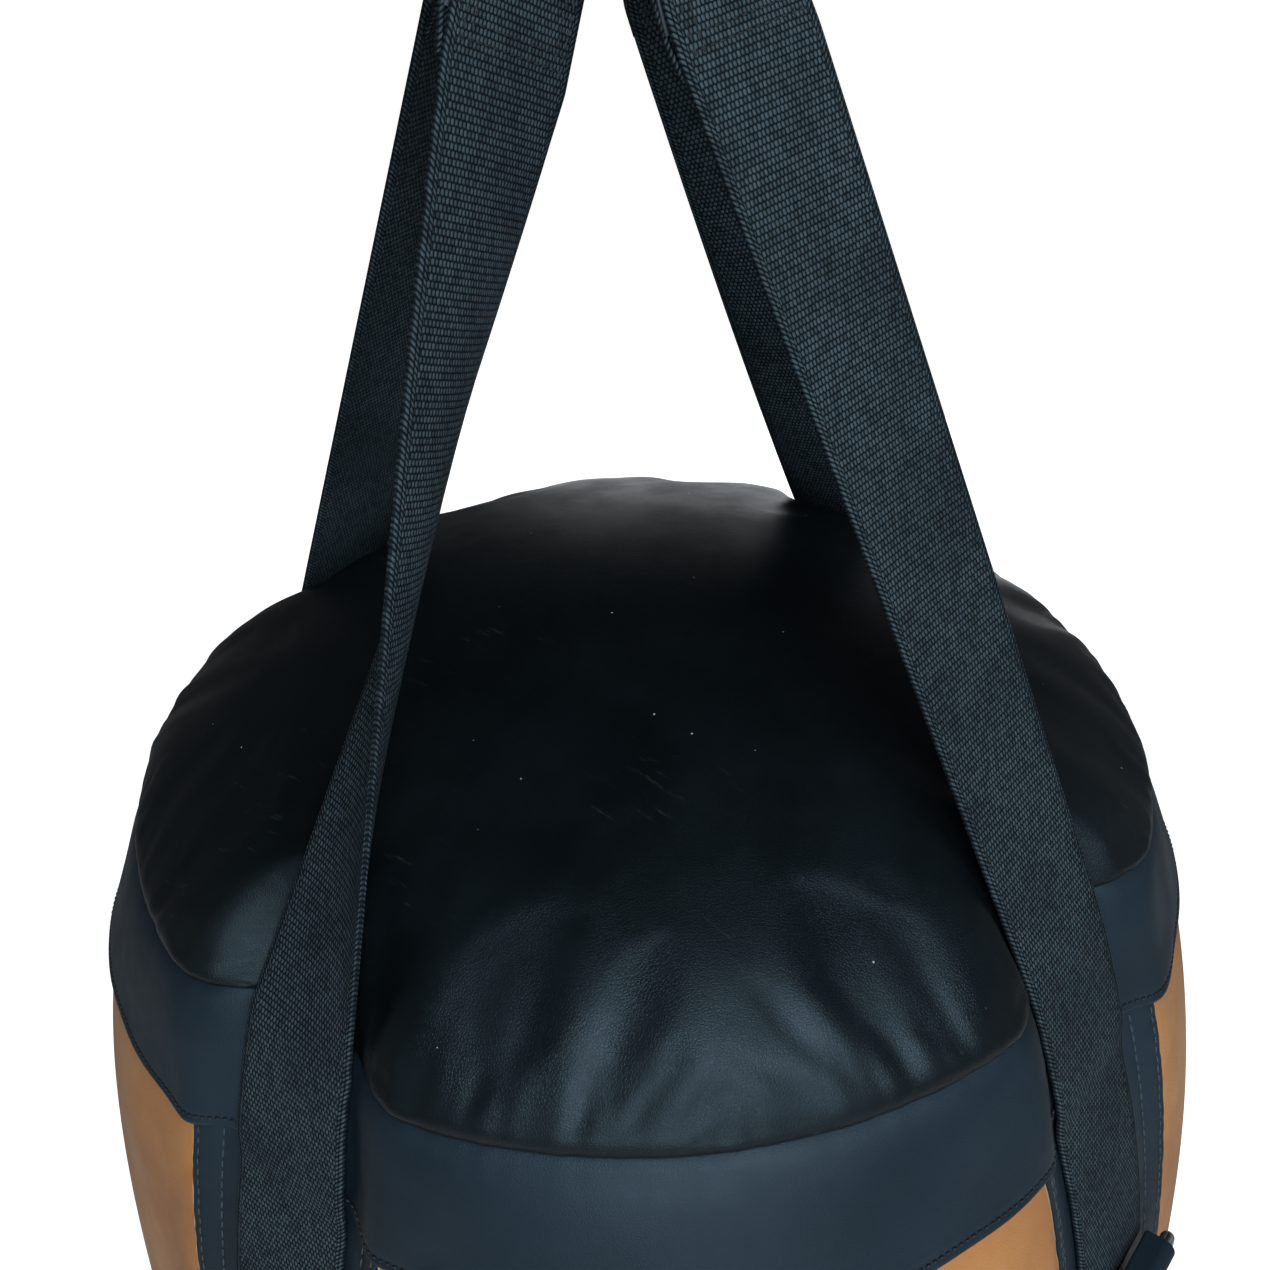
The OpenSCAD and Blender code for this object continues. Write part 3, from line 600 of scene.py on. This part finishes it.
def settle(piece, held):
    """Runs cloth on a copy, held where held is true, and returns how far each point moved."""
    copy = put("cloth", piece.data.copy())
    group = copy.vertex_groups.new(name="held")
    group.add(np.flatnonzero(held).tolist(), 1.0, "REPLACE")
    cloth = copy.modifiers.new("cloth", "CLOTH")
    for key, value in dict(quality=6, mass=0.3, tension_stiffness=25, compression_stiffness=25,
            shear_stiffness=12, bending_stiffness=2.0, shrink_min=-cloth_growth,
            vertex_group_mass="held", use_pressure=True,
            uniform_pressure_force=cloth_pressure).items():
        setattr(cloth.settings, key, value)
    cloth.settings.effector_weights.gravity = 0
    cloth.point_cache.frame_start, cloth.point_cache.frame_end = 1, cloth_frames
    before = np.array([v.co for v in copy.data.vertices])
    for frame_number in range(1, cloth_frames + 1):
        scene.frame_set(frame_number)
    done = evaluated(copy)
    after = np.array([v.co for v in done.vertices])
    scene.frame_set(1)
    bpy.data.objects.remove(copy)
    bpy.data.meshes.remove(done)
    return after - before


def vertex_values(piece, key):
    found = np.zeros(len(piece.data.vertices) * 3, np.float32)
    piece.data.vertices.foreach_get(key, found)
    return found.reshape(-1, 3)


facing = vertex_values(dome, "normal")
folded = gathers(angle, q)[:, None] * facing * MM
lift = (settle(dome, ring >= half) * facing).sum(1)
for k in range(half + 1):
    lift[ring == k] -= lift[ring == k].mean()
lift = np.clip(cloth_share * lift, -cloth_limit, cloth_limit)
folded += lift[:, None] * facing
print("cloth moved the dome by up to", round(float(np.abs(lift).max() / MM), 2), "mm")
cap_points = cap_points + folded

# %% Roll the rim under and close the dome
def add_ring(verts, faces, last, row):
    """Adds a ring of points below the last one, and the faces between them."""
    n = len(row)
    fresh = list(range(len(verts), len(verts) + n))
    verts += [*row]
    faces += [(last[k], fresh[k], fresh[(k + 1) % n], last[(k + 1) % n]) for k in range(n)]
    return fresh


roll_in, roll_down = 4.2, 5.6
rim = np.flatnonzero(ring == half)
rim = rim[np.argsort(angle[rim])]
verts, faces, last, a = [*cap_points], [*map(tuple, cap_faces)], list(rim), angle[rim]
fold = gathers(a, np.zeros(len(rim)))
for bend in (18, 36, 54, 72, 90):
    c, s = math.cos(math.radians(bend)), math.sin(math.radians(bend))
    r = cap_r(a, 1.0) + fold * c - roll_in * (1 - c)
    last = add_ring(verts, faces, last, spot(a, r, roll_down * s - rim_lift))
bpy.data.objects.remove(dome)
cap = as_object("cap", verts, faces, "dome_leather")
finer = cap.modifiers.new("finer", "SUBSURF")
finer.levels = finer.render_levels = 1
smooth_cap = evaluated(cap)
bpy.data.objects.remove(cap)

# The base is hidden by the collar, so it is closed plainly, after the cap has been made finer.
verts = [np.array(v.co) for v in smooth_cap.vertices]
faces = [tuple(face.vertices) for face in smooth_cap.polygons]
used = dict.fromkeys(pair for face in faces for pair in zip(face, face[1:] + face[:1]))
open_edge = {b: a for a, b in used if (b, a) not in used}
last = [next(iter(open_edge))]
while open_edge[last[-1]] != last[0]:
    last.append(open_edge[last[-1]])
edge_points = np.array([verts[k] for k in last])
for shrink in (0.93, 0.7, 0.35):
    last = add_ring(verts, faces, last, edge_points * [shrink, shrink, 1.0])
verts.append(np.array([0, 0, edge_points[:, 2].mean()]))
faces += [(last[k], len(verts) - 1, last[(k + 1) % len(last)]) for k in range(len(last))]
dome = as_object("dome", verts, faces, "dome_leather")
bpy.data.meshes.remove(smooth_cap)
join_frame(dome, "dome_leather", "dome_cover", "crown_pad")
print("dome", len(faces), "faces")

# %% [markdown]
# ## Collar and base band
# Each band is a strip of leather with both edges folded and sewn, so its section is a closed
# loop: a rounded shoulder, a smooth face, a shallow groove along the stitches and a folded hem.
# The section is swept round the outline by giving every point an offset from the outline and a
# depth, which follows the lobes with no distortion.

# %% Bands swept round the outline
def swept_band(name, section, finish, columns, flutter):
    """section holds (depth, offset from the outline) pairs; flutter gives each point's soft folds."""
    a = np.linspace(0, 360, columns, endpoint=False)[:, None]
    d, offset = (np.array(side, float)[None, :] for side in zip(*section))
    points = spot(a, skin_r(a, d) + offset + flutter(a, d), d)
    return grid_object(name, points, finish, closed_round=True, closed_down=True)


hem_stitch = collar_h - 3.6
hem_tilt = 0.7


def collar_folds(a, d):
    """The seam's gathers run on into the collar and die away; the hem waves a little."""
    arc = np.radians(a) * seam_r
    tight = gathers(a, 0 * a) * 0.8 * np.exp(-np.maximum(d, 0) / 7)
    slack = waves(11, [2 * np.pi * seam_r / n for n in (7, 13, 22, 31)], arc + hem_tilt * d)
    near = np.exp(-((off_strap(a) - 13) / 7) ** 2)
    return tight + slack * (0.5 + 0.9 * near) * smooth(d / 18)


collar_section = [
    (-0.4, -4.6), (0.3, -3.2), (1.4, -1.9), (3.2, -0.8), (6, -0.1), (10, 0.2), (16, 0.25), (22, 0.2),
    (28, 0.1), (34, 0.05), (40, 0), (44, 0), (hem_stitch - 1.4, 0), (hem_stitch - 0.5, -0.35),
    (hem_stitch + 0.5, -0.35), (hem_stitch + 1.3, 0.05), (collar_h - 1.2, 0.1),
    (collar_h - 0.4, -0.3), (collar_h, -1.1), (collar_h - 0.3, -2.0), (collar_h - 1.2, -2.5),
    (40, -2.5), (24, -2.6), (10, -3.2), (3, -4.8)]
collar = swept_band("collar", collar_section, "navy_leather", 540, collar_folds)
join_frame(collar, "navy_leather", "collar_band")

band_top = body_len - 60.0
base_section = [(band_top + down, offset) for down, offset in (
    (1.2, -2.3), (0.3, -1.8), (0, -1.0), (0.4, -0.2), (1.3, 0.1), (3.0, -0.3), (4.0, -0.3),
    (5.2, 0.1), (15, 0.2), (30, 0.3), (45, 0.2))]
base_section += [(body_len - 6, 0), (body_len - 2.5, -0.6), (body_len - 0.6, -1.6),
    (body_len - 0.1, -2.6), (body_len - 1.2, -3.2), (band_top + 30, -2.4)]


def base_folds(a, d):
    return 0.5 * waves(17, [130, 74, 47], np.radians(a) * seam_r + 0.5 * d)


base_band = swept_band("base_trim", base_section, "navy_leather", 400, base_folds)
join_frame(base_band, "navy_leather", "base_band")
print("collar hem at", round(seam_z - collar_h * MM, 4), "m")

# %% [markdown]
# ## Body panels and strips
# Four caramel panels wrap the foam, each crowned between its seams, with a few slow hollows from
# the stuffing. Dark strips cover the four joins. A strip has folded edges and two rows of
# stitches along each, which press shallow grooves into it.

# %% Panels
body_top, body_bottom = collar_h - 8.0, body_len - 4.3
rows_down = (body_top + (body_bottom - body_top) * np.linspace(0, 1, 170) ** 1.25)[None, :]


def body_dents(a, d):
    """Slow hollows and soft level creases in the stuffed body, in mm."""
    arc = np.radians(a) * 205
    slow = waves(23, [310, 190, 143], arc + 0.4 * d) + waves(29, [410, 260, 170], d - 0.3 * arc)
    creases = waves(31, [61, 43, 34], d + 6 * np.sin(arc / 55)) * smooth((d - 300) / 500)
    return 0.9 * slow + 0.5 * creases


def panel(name, turn):
    d = rows_down
    t = np.linspace(0, 1, 84)[:, None]
    t = t - 0.11 * np.sin(4 * np.pi * t) / (2 * np.pi)
    side = np.degrees((strip_w / 2 - 1.0) / mean_r(d))
    a = (turn + side) * (1 - t) + (turn + 90 - side) * t
    from_left = np.radians(a - turn - side) * mean_r(d)
    from_right = np.radians(turn + 90 - side - a) * mean_r(d)
    edge = np.minimum(from_left, from_right)
    r = skin_r(a, d) - body_inset + body_dents(a, d) * smooth(edge / 30)
    r = r - 1.0 * np.exp(-(edge / 7) ** 1.4)
    r = r + 0.35 * waves(turn + 41, [23, 14, 9.5], d) * np.exp(-edge / 12)
    level_edges = np.minimum(np.maximum(d - collar_h, 0), band_top - d)
    to_edge = np.minimum(edge - 1.2, level_edges) * MM
    return add_wall(
        grid_object(name, spot(a, r, d), "tan_leather", metres(from_left, d), to_edge), even=True)


for name, turn in (("front_right", 270), ("back_right", 0), ("back_left", 90), ("front_left", 180)):
    join_frame(panel("leather_" + name, turn), "tan_leather", "panel_" + name)
panel_w = float(np.radians(90) * mean_r(300) - strip_w)
print("four panels, each", round(panel_w), "mm wide")

# %% Strips
stitch_in = (2.4, 9.4)
across = [0.0, 0.25, 0.8, 1.5, 2.0, 2.8, 3.6, 5.5, 8.2, 9.0, 9.8, 10.8, 15, 22, 30, 38, 45]
lift_at = [-1.2, -0.1, 0.5, 0.6, 0.3, 0.3, 0.6, 0.7, 0.6, 0.25, 0.25, 0.55, 0.6, 0.6, 0.55, 0.5, 0.5]


def on_strip(turn, e, d, lift):
    """Points e mm across a strip and d mm down it, which stand lift mm off the body."""
    a = turn + np.degrees((e - strip_w / 2) / mean_r(d))
    from_edge = np.minimum(e, strip_w - e)
    r = skin_r(a, d) - body_inset + lift + body_dents(a, d) * 0.5 * smooth(from_edge / 20)
    ripple = waves(turn + 7, [19, 11, 7.7], d + 3 * (e > strip_w / 2)) * np.exp(-from_edge / 9)
    return spot(a, r + 0.25 * ripple, d)


def strip(name, turn):
    e = np.array(across + [strip_w - x for x in across[-2::-1]])[:, None]
    lift = np.array(lift_at + lift_at[-2::-1])[:, None]
    points = on_strip(turn, e, rows_down, lift)
    return add_wall(grid_object(name, points, "navy_leather", metres(e, rows_down)))


SIDES = (("right", 0), ("back", 90), ("left", 180), ("front", 270))
for name, turn in SIDES:
    join_frame(strip("seam_strip_" + name, turn), "navy_leather", "strip_" + name)

# %% [markdown]
# ## Stuffing
# Nobody sees the stuffing, but the bag isn't hollow: a foam sleeve, wadding and a sand core fill
# it. One closed, crowned form just inside the leather stands for them all.

# %% Stuffing
a = np.linspace(0, 360, 120, endpoint=False)[:, None]
d = np.linspace(6, body_len - 10, 60)[None, :]
core = skin_r(a, d) - 13 - 40 * np.exp(-(np.minimum(d - 6, body_len - 10 - d) / 9))
stuffing = grid_object("stuffing", spot(a, core, d), "wadding", closed_round=True)
repair(stuffing, outwards=False)
join_frame(stuffing, "wadding", "foam_sleeve", "filling", "sand_core")

# %% [markdown]
# ## Straps
# Each strap starts sewn under a tab on the bag's side, runs up over the collar, pulls straight
# to the hanger, turns round a bar and is folded back and box-stitched. Two of the bars lie level.
# The other two slope outwards, so their straps take a quarter twist on the way. A strap is a line
# of stations, each with the way its width lies, and a section is set across every station. Under
# load the twisted webbing also cups, as its edges are pulled tighter than its middle.

# %% Strap line
bar_r, bar_x, lean, web_t, lining_t, tab_t = 4.5, 26.5, math.radians(24.6), 2.0, 1.2, 4.0
tab_drop, fold_back, lining_drop, gap = 138.0, 41.0, 30.0, 0.3
web_ring = bar_r + gap + lining_t + gap + web_t / 2
lining_ring = bar_r + gap + lining_t / 2
rest = web_t / 2 + 0.5
seam_mm = seam_z / MM
# A quarter turn either way, or none; the turn at the fold; and how far a turned foot stands off.
QUARTER = {"right": 0, "back": -1, "left": 0, "front": 1}
SLEW = {"right": 13.0, "back": 42.0, "left": -3.0, "front": 0.0}
foot_turn, foot_lift = 5.0, 14.0
tangent = np.array([0.0, 1.0, 0.0])
uphill = np.array([-math.sin(lean), 0, math.cos(lean)])
outward = np.array([math.cos(lean), 0, math.sin(lean)])
foot = np.array([float(skin_r(np.array(0.0), 3.0)) + rest, 0, seam_mm - 3.0])
climb = (foot[0] - bar_x - web_ring * math.cos(lean)) / math.tan(lean)
bar = np.array([bar_x, 0, foot[2] + climb - web_ring * math.sin(lean)])


def slew(name, along):
    """Degrees by which a strap departs from its bar's direction, along mm up from the bar."""
    return SLEW[name] * math.sin(math.pi / 2 * min(1, max(0, -along / fold_back)))


def by_bar(name, along, out):
    """A place along mm up the strap and out mm off the bar, and the way the width lies there."""
    turned, k = QUARTER[name], math.radians(slew(name, along))
    middle = bar + outward * web_ring + uphill * along
    if turned:
        off_face = tangent * turned * math.cos(k) - outward * math.sin(k)
        return middle + off_face * out, outward * turned * math.cos(k) + tangent * math.sin(k)
    off_face = outward * math.cos(k) - tangent * math.sin(k)
    return middle + off_face * (out - web_ring), tangent * math.cos(k) + outward * math.sin(k)


def round_bar(radius, count):
    """Steps along and out for half a turn round the bar."""
    return [(radius * math.sin(k), radius * math.cos(k)) for k in np.linspace(0, math.pi, count)]


def places(name, steps):
    """Points and ways of the width for a list of steps along and out."""
    return (np.array(part) for part in zip(*(by_bar(name, *step) for step in steps)))


def strap_line(name, turn):
    """Stations 2 mm apart: places, ways the width lies, length so far, share from foot to fold."""
    quarter = QUARTER[name]
    end, lap = tab_drop + 8, collar_h + 8
    d = np.concatenate([np.linspace(end, lap, 24), np.linspace(collar_h - 1, 6, 16)])
    out = skin_r(turn + 0 * d, d) + rest - np.where(d > collar_h, body_inset, 0)
    start = foot_turn * abs(quarter)
    lifted = start * smooth(1 - (d - 3) / 55)
    low = np.stack([out + foot_lift * np.sin(np.radians(lifted)), 0 * d, seam_mm - d], -1)
    t = np.linspace(0, 1, 80)[:, None]
    top = by_bar(name, -fold_back, web_ring)[0]
    own_out = float(skin_r(np.array(turn), 3.0)) + rest + foot_lift * math.sin(math.radians(start))
    free = np.array([own_out, 0, foot[2]]) * (1 - t) + top * t
    step = web_t + lining_t + 0.6
    inner = web_ring - web_t - 0.35
    loop, loop_wide = places(name, [(-fold_back * k, web_ring) for k in (0.66, 0.33)]
        + round_bar(web_ring, 17) + [(-9, 1 - web_ring), (-20, web_ring - step),
        (-lining_drop - 2, web_ring - step), (-lining_drop - 8, inner), (-fold_back, inner)])
    first, last = start * quarter, 90.0 * quarter + slew(name, -fold_back)
    twist = first + (last - first) * t[:, 0] ** (0.85 if quarter else 1.0)
    twist = np.radians(np.concatenate([lifted * quarter, twist]))[:, None]
    line = np.concatenate([low, free, loop])
    wide = np.concatenate([tangent * np.cos(twist) + outward * np.sin(twist), loop_wide])
    share = np.concatenate([0 * d, t[:, 0], np.ones(len(loop))])
    run = along_line(line)
    at = np.linspace(0, run[-1], int(run[-1] / 2.0))
    line, wide = (np.stack([np.interp(at, run, v[:, k]) for k in range(3)], -1) for v in (line, wide))
    wide /= np.linalg.norm(wide, axis=1)[:, None]
    share = np.interp(at, run, share)
    bend = run[len(low)]
    soft = np.interp(at, [0, bend + 25, bend + 60, run[-1]], [1, 1, 0, 0])[:, None]
    for _ in range(10):
        line[1:-1] += 0.25 * soft[1:-1] * (line[:-2] - 2 * line[1:-1] + line[2:])
    return line, wide, at, share


def flat_section(width, thick, cup=0.0):
    """Closed section of a flat strip: (side, face) pairs, outer face first."""
    e, half_w = thick / 2, width / 2
    middle = np.linspace(e - half_w, half_w - e, 13)
    side = np.concatenate([[0.15 * e - half_w], middle, [half_w - 0.15 * e]])
    swell = np.concatenate([[0.45], np.ones(13), [0.45]]) * e
    bow = cup * (1 - (2 * side / width) ** 2)
    out = np.stack([side, swell + bow], -1)
    back = np.stack([side, bow - swell], -1)[::-1]
    return np.concatenate([out, back])


def strip_along(name, line, wide, at, width, thick, finish, turn, cup=0.0):
    """Sets a flat section across every station of a line and closes both ends."""
    face = np.cross(wide, np.gradient(line, axis=0))
    face /= np.linalg.norm(face, axis=1)[:, None]
    rows = []
    for p, w, out, c in zip(line, wide, face, np.broadcast_to(cup, len(at))):
        section = flat_section(width, thick, c)
        rows.append(p + w * section[:, :1] + out * section[:, 1:])
    uvs = metres((flat_section(width, thick)[:, 0] + width / 2)[None, :], at[:, None])
    made = grid_object(name, turned_by(np.stack(rows), turn) * MM, finish, uvs, closed_down=True)
    repair(made)
    return made, face


# %% Straps and linings
stations = {}
for name, turn in SIDES:
    line, wide, at, share = strap_line(name, float(turn))
    cup = (-6.0 if QUARTER[name] else -0.8) * np.sin(np.pi * share) ** 0.8
    piece, face = strip_along("web_" + name, line, wide, at, web_w, web_t, "webbing", turn, cup)
    join_frame(piece, "webbing", "strap_" + name)
    stations[name] = (turn, line, wide, face, share)
    wear, wear_wide = places(name, [(-lining_drop, web_ring - web_t / 2 - gap - lining_t / 2)]
        + round_bar(lining_ring, 15) + [(-5, gap - lining_ring)])
    piece, face = strip_along(
        "wear_" + name, wear, wear_wide, along_line(wear), web_w, lining_t, "vinyl", turn)
    join_frame(piece, "vinyl", "lining_" + name)
print("each strap is", round(at[-1]), "mm of webbing")

# %% Press the dome and collar under the straps
press_last, press_spread = 130, 16.0


def press(piece, name, first, lowest, clear):
    """Moves a skin in under a strap wherever it would stand above the strap's inner face."""
    turn, line, wide, face, share = stations[name]
    points = turned_by(vertex_values(piece, "co") / MM, -turn)
    reach = web_w / 2 + press_spread
    near = np.flatnonzero(
        (points[:, 0] > 40) & (np.abs(points[:, 1]) < reach) & (points[:, 2] > lowest))
    apart = np.linalg.norm(points[near][:, None, :] - line[first:press_last][None], axis=2)
    k = apart.argmin(1) + first
    rel = points[near] - line[k]
    side, above = (rel * wide[k]).sum(1), (rel * face[k]).sum(1)
    beside = np.maximum(0, np.abs(side) - web_w / 2)
    over = above + web_t / 2 + clear - 0.9 * beside
    sink = (over + np.sqrt(over ** 2 + 3)) / 2 * (1 - smooth(beside / press_spread))
    sink *= smooth((points[near][:, 2] - lowest) / 4)
    points[near] -= face[k] * sink[:, None]
    back = (turned_by(points, turn) * MM).astype(np.float32)
    piece.data.vertices.foreach_set("co", back.ravel())
    piece.data.update()
    return float(sink.max())


for name, turn in SIDES:
    deep = press(dome, name, 40, seam_mm - 4, 1.2), press(collar, name, 20, seam_mm - collar_h, 0.2)
    print("strap", name, "presses dome and collar in by", [round(v, 1) for v in deep], "mm")

# %% [markdown]
# ## Steel parts and tabs
# The CAD already has the true shape of the hanger, the swivel and the rings, but its edges are
# sharp. A copy of each is merged, cleaned of its flat triangles and given a small bevel, which
# catches the light as a forged or plated edge does. The leather tabs get the same treatment.

# %% Bevelled copies of CAD parts
def finished(node, name, body, slot, bevel, segments=2):
    """A cleaned copy of a CAD node, with its sharp edges bevelled by bevel mm."""
    source = bmesh.new()
    source.from_mesh(nodes[node].data)
    bmesh.ops.remove_doubles(source, verts=source.verts, dist=0.002 * MM)
    flat, bent = math.radians(1.2), math.radians(38)
    bmesh.ops.dissolve_limit(source, angle_limit=flat, verts=source.verts, edges=source.edges)
    sharp = [e for e in source.edges if len(e.link_faces) == 2 and e.calc_face_angle(0) > bent]
    if bevel:
        bmesh.ops.bevel(source, geom=sharp, offset=bevel * MM, segments=segments, profile=0.5,
            affect="EDGES", clamp_overlap=True)
    for face in source.faces:
        face.smooth = True
    mesh = bpy.data.meshes.new(name)
    source.to_mesh(mesh)
    source.free()
    mesh.materials.append(SLOTS[slot])
    made = put(name, mesh)
    made.modifiers.new("crisp", "WEIGHTED_NORMAL").keep_sharp = True
    return join_frame(made, slot, node, body=body)


for part in (
        ("swivel_eye", "eye_bolt", "hanger", "plated_steel", 1.0),
        ("stem_nut", "hex_nut", "hanger", "dark_nut", 0.7),
        ("thrust_bearing", "bearing", "hanger", "plated_steel", 0.5),
        ("swivel_jaw", "fork", "jaw", "forged_steel", 1.2),
        ("jaw_bolt", "cross_bolt", "jaw", "plated_steel", 0.6),
        ("jaw_nut", "cross_nut", "jaw", "dark_nut", 0.7),
        ("hanger_plate", "barred_plate", "bag", "forged_steel", 0.9),
        ("lug_bush", "bronze_bush", "bag", "bronze", 0.5),
        ("base_cover", "base_leather", "bag", "navy_leather", 0.6),
        ("zip_slider", "slider", "zip_slider", "plated_steel", 0.3),
        ("zip_puller", "puller", "zip_puller", "plated_steel", 0.3)):
    finished(*part)
for name, turn in SIDES:
    finished("ring_" + name, "d_ring_" + name, "anchor_ring_" + name, "plated_steel", 0)
    finished("tab_" + name, "ring_tab_" + name, "bag", "navy_leather", 0.9, 3)

# %% [markdown]
# ## Stitches
# A row of stitches is one small bead repeated at a steady pitch along a line. Geometry Nodes do
# this well: lines go in, the tree spaces points along them, sets a bead on each, turned along
# the line, and gives back plain mesh. The same tree sews every seam, with its own pitch and size.

# %% The stitch tree
def stitch_tree():
    tree = bpy.data.node_groups.new("stitch_row", "GeometryNodeTree")
    for name, kind in dict(Geometry="Geometry", Pitch="Float", Length="Float",
            Thickness="Float", Seed="Int", Thread="Material").items():
        tree.interface.new_socket(name, in_out="INPUT", socket_type="NodeSocket" + kind)
    tree.interface.new_socket("Geometry", in_out="OUTPUT", socket_type="NodeSocketGeometry")
    g = Graph(tree)
    given = tree.nodes.new("NodeGroupInput").outputs
    points = g.node("GeometryNodeCurveToPoints",
        {"Curve": given["Geometry"], "Length": given["Pitch"]}, mode="LENGTH")
    size = g.node("ShaderNodeCombineXYZ",
        {0: given["Thickness"], 1: given["Thickness"], 2: given["Length"]})
    bead = g.node("GeometryNodeMeshUVSphere", {"Segments": 6, "Rings": 4, "Radius": 0.5})
    bead = g.node("GeometryNodeTransform", {"Geometry": bead, "Scale": size})
    vary = g.node("FunctionNodeRandomValue", {2: 0.88, 3: 1.08, "Seed": given["Seed"]}, out=1,
        data_type="FLOAT")
    rows = g.node("GeometryNodeInstanceOnPoints", {"Points": points, "Instance": bead,
        "Rotation": points.node.outputs["Rotation"], "Scale": vary})
    for kind in ("SetShadeSmooth", "RealizeInstances"):
        rows = g.node("GeometryNode" + kind, {"Geometry": rows})
    rows = g.node("GeometryNodeSetMaterial", {"Geometry": rows, "Material": given["Thread"]})
    g.feed(tree.nodes.new("NodeGroupOutput").inputs["Geometry"], rows)
    return tree


stitches = stitch_tree()
socket_id = {item.name: item.identifier for item in stitches.interface.items_tree
    if item.in_out == "INPUT"}


def sew(name, lines, pitch, length, thick, finish, slot="navy_leather", seed=1):
    """Sews beads along lines of points in metres, as one mesh; pitch and sizes are in mm."""
    curve = bpy.data.curves.new(name + "_line", "CURVE")
    curve.dimensions = "3D"
    for line in lines:
        spline = curve.splines.new("POLY")
        spline.points.add(len(line) - 1)
        spline.points.foreach_set("co", np.insert(np.asarray(line), 3, 1.0, axis=1).ravel())
    guide = put(name + "_line", curve)
    rows = guide.modifiers.new("stitches", "NODES")
    rows.node_group = stitches
    for key, value in dict(Pitch=pitch * MM, Length=length * MM, Thickness=thick * MM,
            Seed=seed, Thread=SLOTS[finish]).items():
        rows[socket_id[key]] = value
    mesh = evaluated(guide)
    bpy.data.objects.remove(guide)
    print(name, len(mesh.polygons), "faces")
    join_frame(put(name, mesh), slot)


# %% Sew the collar, the base band and the strips
round_bag = np.linspace(0, 360, 721)
hem_r = skin_r(round_bag, hem_stitch) + collar_folds(round_bag, hem_stitch) - 0.05
base_d = band_top + 3.5
base_r = skin_r(round_bag, base_d) + base_folds(round_bag, base_d) - 0.1
sew("hem_stitches", [spot(round_bag, hem_r, hem_stitch)], 2.5, 1.7, 0.9, "thread_dark")
sew("base_stitches", [spot(round_bag, base_r, base_d)], 3.6, 3.0, 0.8, "thread_blue")
lines = []
d = np.linspace(collar_h + 0.5, band_top - 0.5, 420)
for name, turn in SIDES:
    for inset in (*stitch_in, *(strip_w - x for x in stitch_in)):
        lines.append(on_strip(turn, inset, d, 0.35))
sew("strip_stitches", lines, 4.4, 3.5, 0.75, "thread_blue", seed=3)

# %% Box stitches at the top of each strap
def on_strap(name, drop, side):
    """A point side mm across the strap's outer face, drop mm below its bar."""
    turn, line, wide, face, share = stations[name]
    height = (line - by_bar(name, 0, web_ring)[0]) @ uphill
    fold = np.count_nonzero(share < 1)
    k = fold + int(np.argmin(np.abs(height[fold:fold + 30] + drop)))
    off = (-1 if QUARTER[name] else 1) * (web_t / 2 + 0.12)
    point = line[k] + uphill * (-drop - height[k]) + wide[k] * side + face[k] * off
    return turned_by(point, turn) * MM


lines = []
half_w = web_w / 2 - 5.0
for name, turn in SIDES:
    for drop in (fold_back - 5, fold_back - 9):
        lines.append([on_strap(name, drop, s) for s in np.linspace(-half_w, half_w, 12)])
    for side in (-half_w, -half_w + 3.2, half_w - 3.2, half_w):
        lines.append([on_strap(name, drop, side) for drop in np.linspace(fold_back - 5, 12, 18)])
sew("box_stitches", lines, 3.2, 2.6, 0.8, "thread_dark", "webbing", seed=5)

# %% Stitches on the ring tabs
tab_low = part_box("tab_right")[0]
tab_face, tab_end = tab_low.x / MM + tab_t + 0.1, tab_low.z / MM
box = np.array([(tab_face, 16.5 * side, tab_end + rise)
    for side, rise in ((-1, 36), (1, 36), (1, 4), (-1, 4), (-1, 36))])
lines = [turned_by(box, turn) * MM for name, turn in SIDES]
sew("tab_stitches", lines, 3.6, 2.9, 0.75, "thread_blue", seed=7)

# %% [markdown]
# ## Eyelets and zip
# Each panel has a small nickel eyelet that lets air in and out: a turned ring with a rolled
# flange. The base is closed by a zip, whose teeth are again one shape repeated along two lines.

# %% Eyelets
def turned_ring(profile, steps=40):
    """Points of a closed (radius, height) profile turned about X."""
    k = np.linspace(0, 2 * np.pi, steps, endpoint=False)[:, None]
    r, h = (np.array(side, float)[None, :] for side in zip(*profile))
    return np.stack(np.broadcast_arrays(h, r * np.cos(k), r * np.sin(k)), -1)


eyelet_d = collar_h + 55.0
profile = [(3.0, -3.0), (3.0, 0.2), (3.2, 0.8), (3.8, 1.25), (4.6, 1.35), (5.4, 1.1), (5.9, 0.6),
    (6.0, 0.25), (5.6, 0.1), (4.5, 0.1), (4.4, -3.0)]
parts = []
for turn in (45, 135, 225, 315):
    a = np.array(float(turn))
    out = float(skin_r(a, eyelet_d)) - body_inset + float(body_dents(a, eyelet_d))
    points = turned_by(turned_ring(profile) + [out, 0, seam_mm - eyelet_d], turn) * MM
    parts.append(grid_object("ring", points, "eyelet_metal", closed_round=True, closed_down=True))
with bpy.context.temp_override(active_object=parts[0], selected_editable_objects=parts, object=parts[0]):
    bpy.ops.object.join()
eyelets = parts[0]
eyelets.name = eyelets.data.name = "eyelets"
repair(eyelets, fill=False)
join_frame(eyelets, "eyelet_metal", "vent_eyelets")

# %% Zip
zip_low, zip_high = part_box("base_zip")
tape = finished("base_zip", "zip_tape", "bag", "zip_teeth", 0.2)
tape.data.materials[0] = SLOTS["zip_tape"]
spread = np.linspace(zip_low.x + 6 * MM, zip_high.x - 6 * MM, 60)
lines = [[(x, y, zip_low.z + 0.2 * MM) for x in spread] for y in (-1.3 * MM, 1.3 * MM)]
sew("zip_teeth", lines, 2.4, 1.5, 2.4, "zip_teeth", "zip_teeth", seed=9)
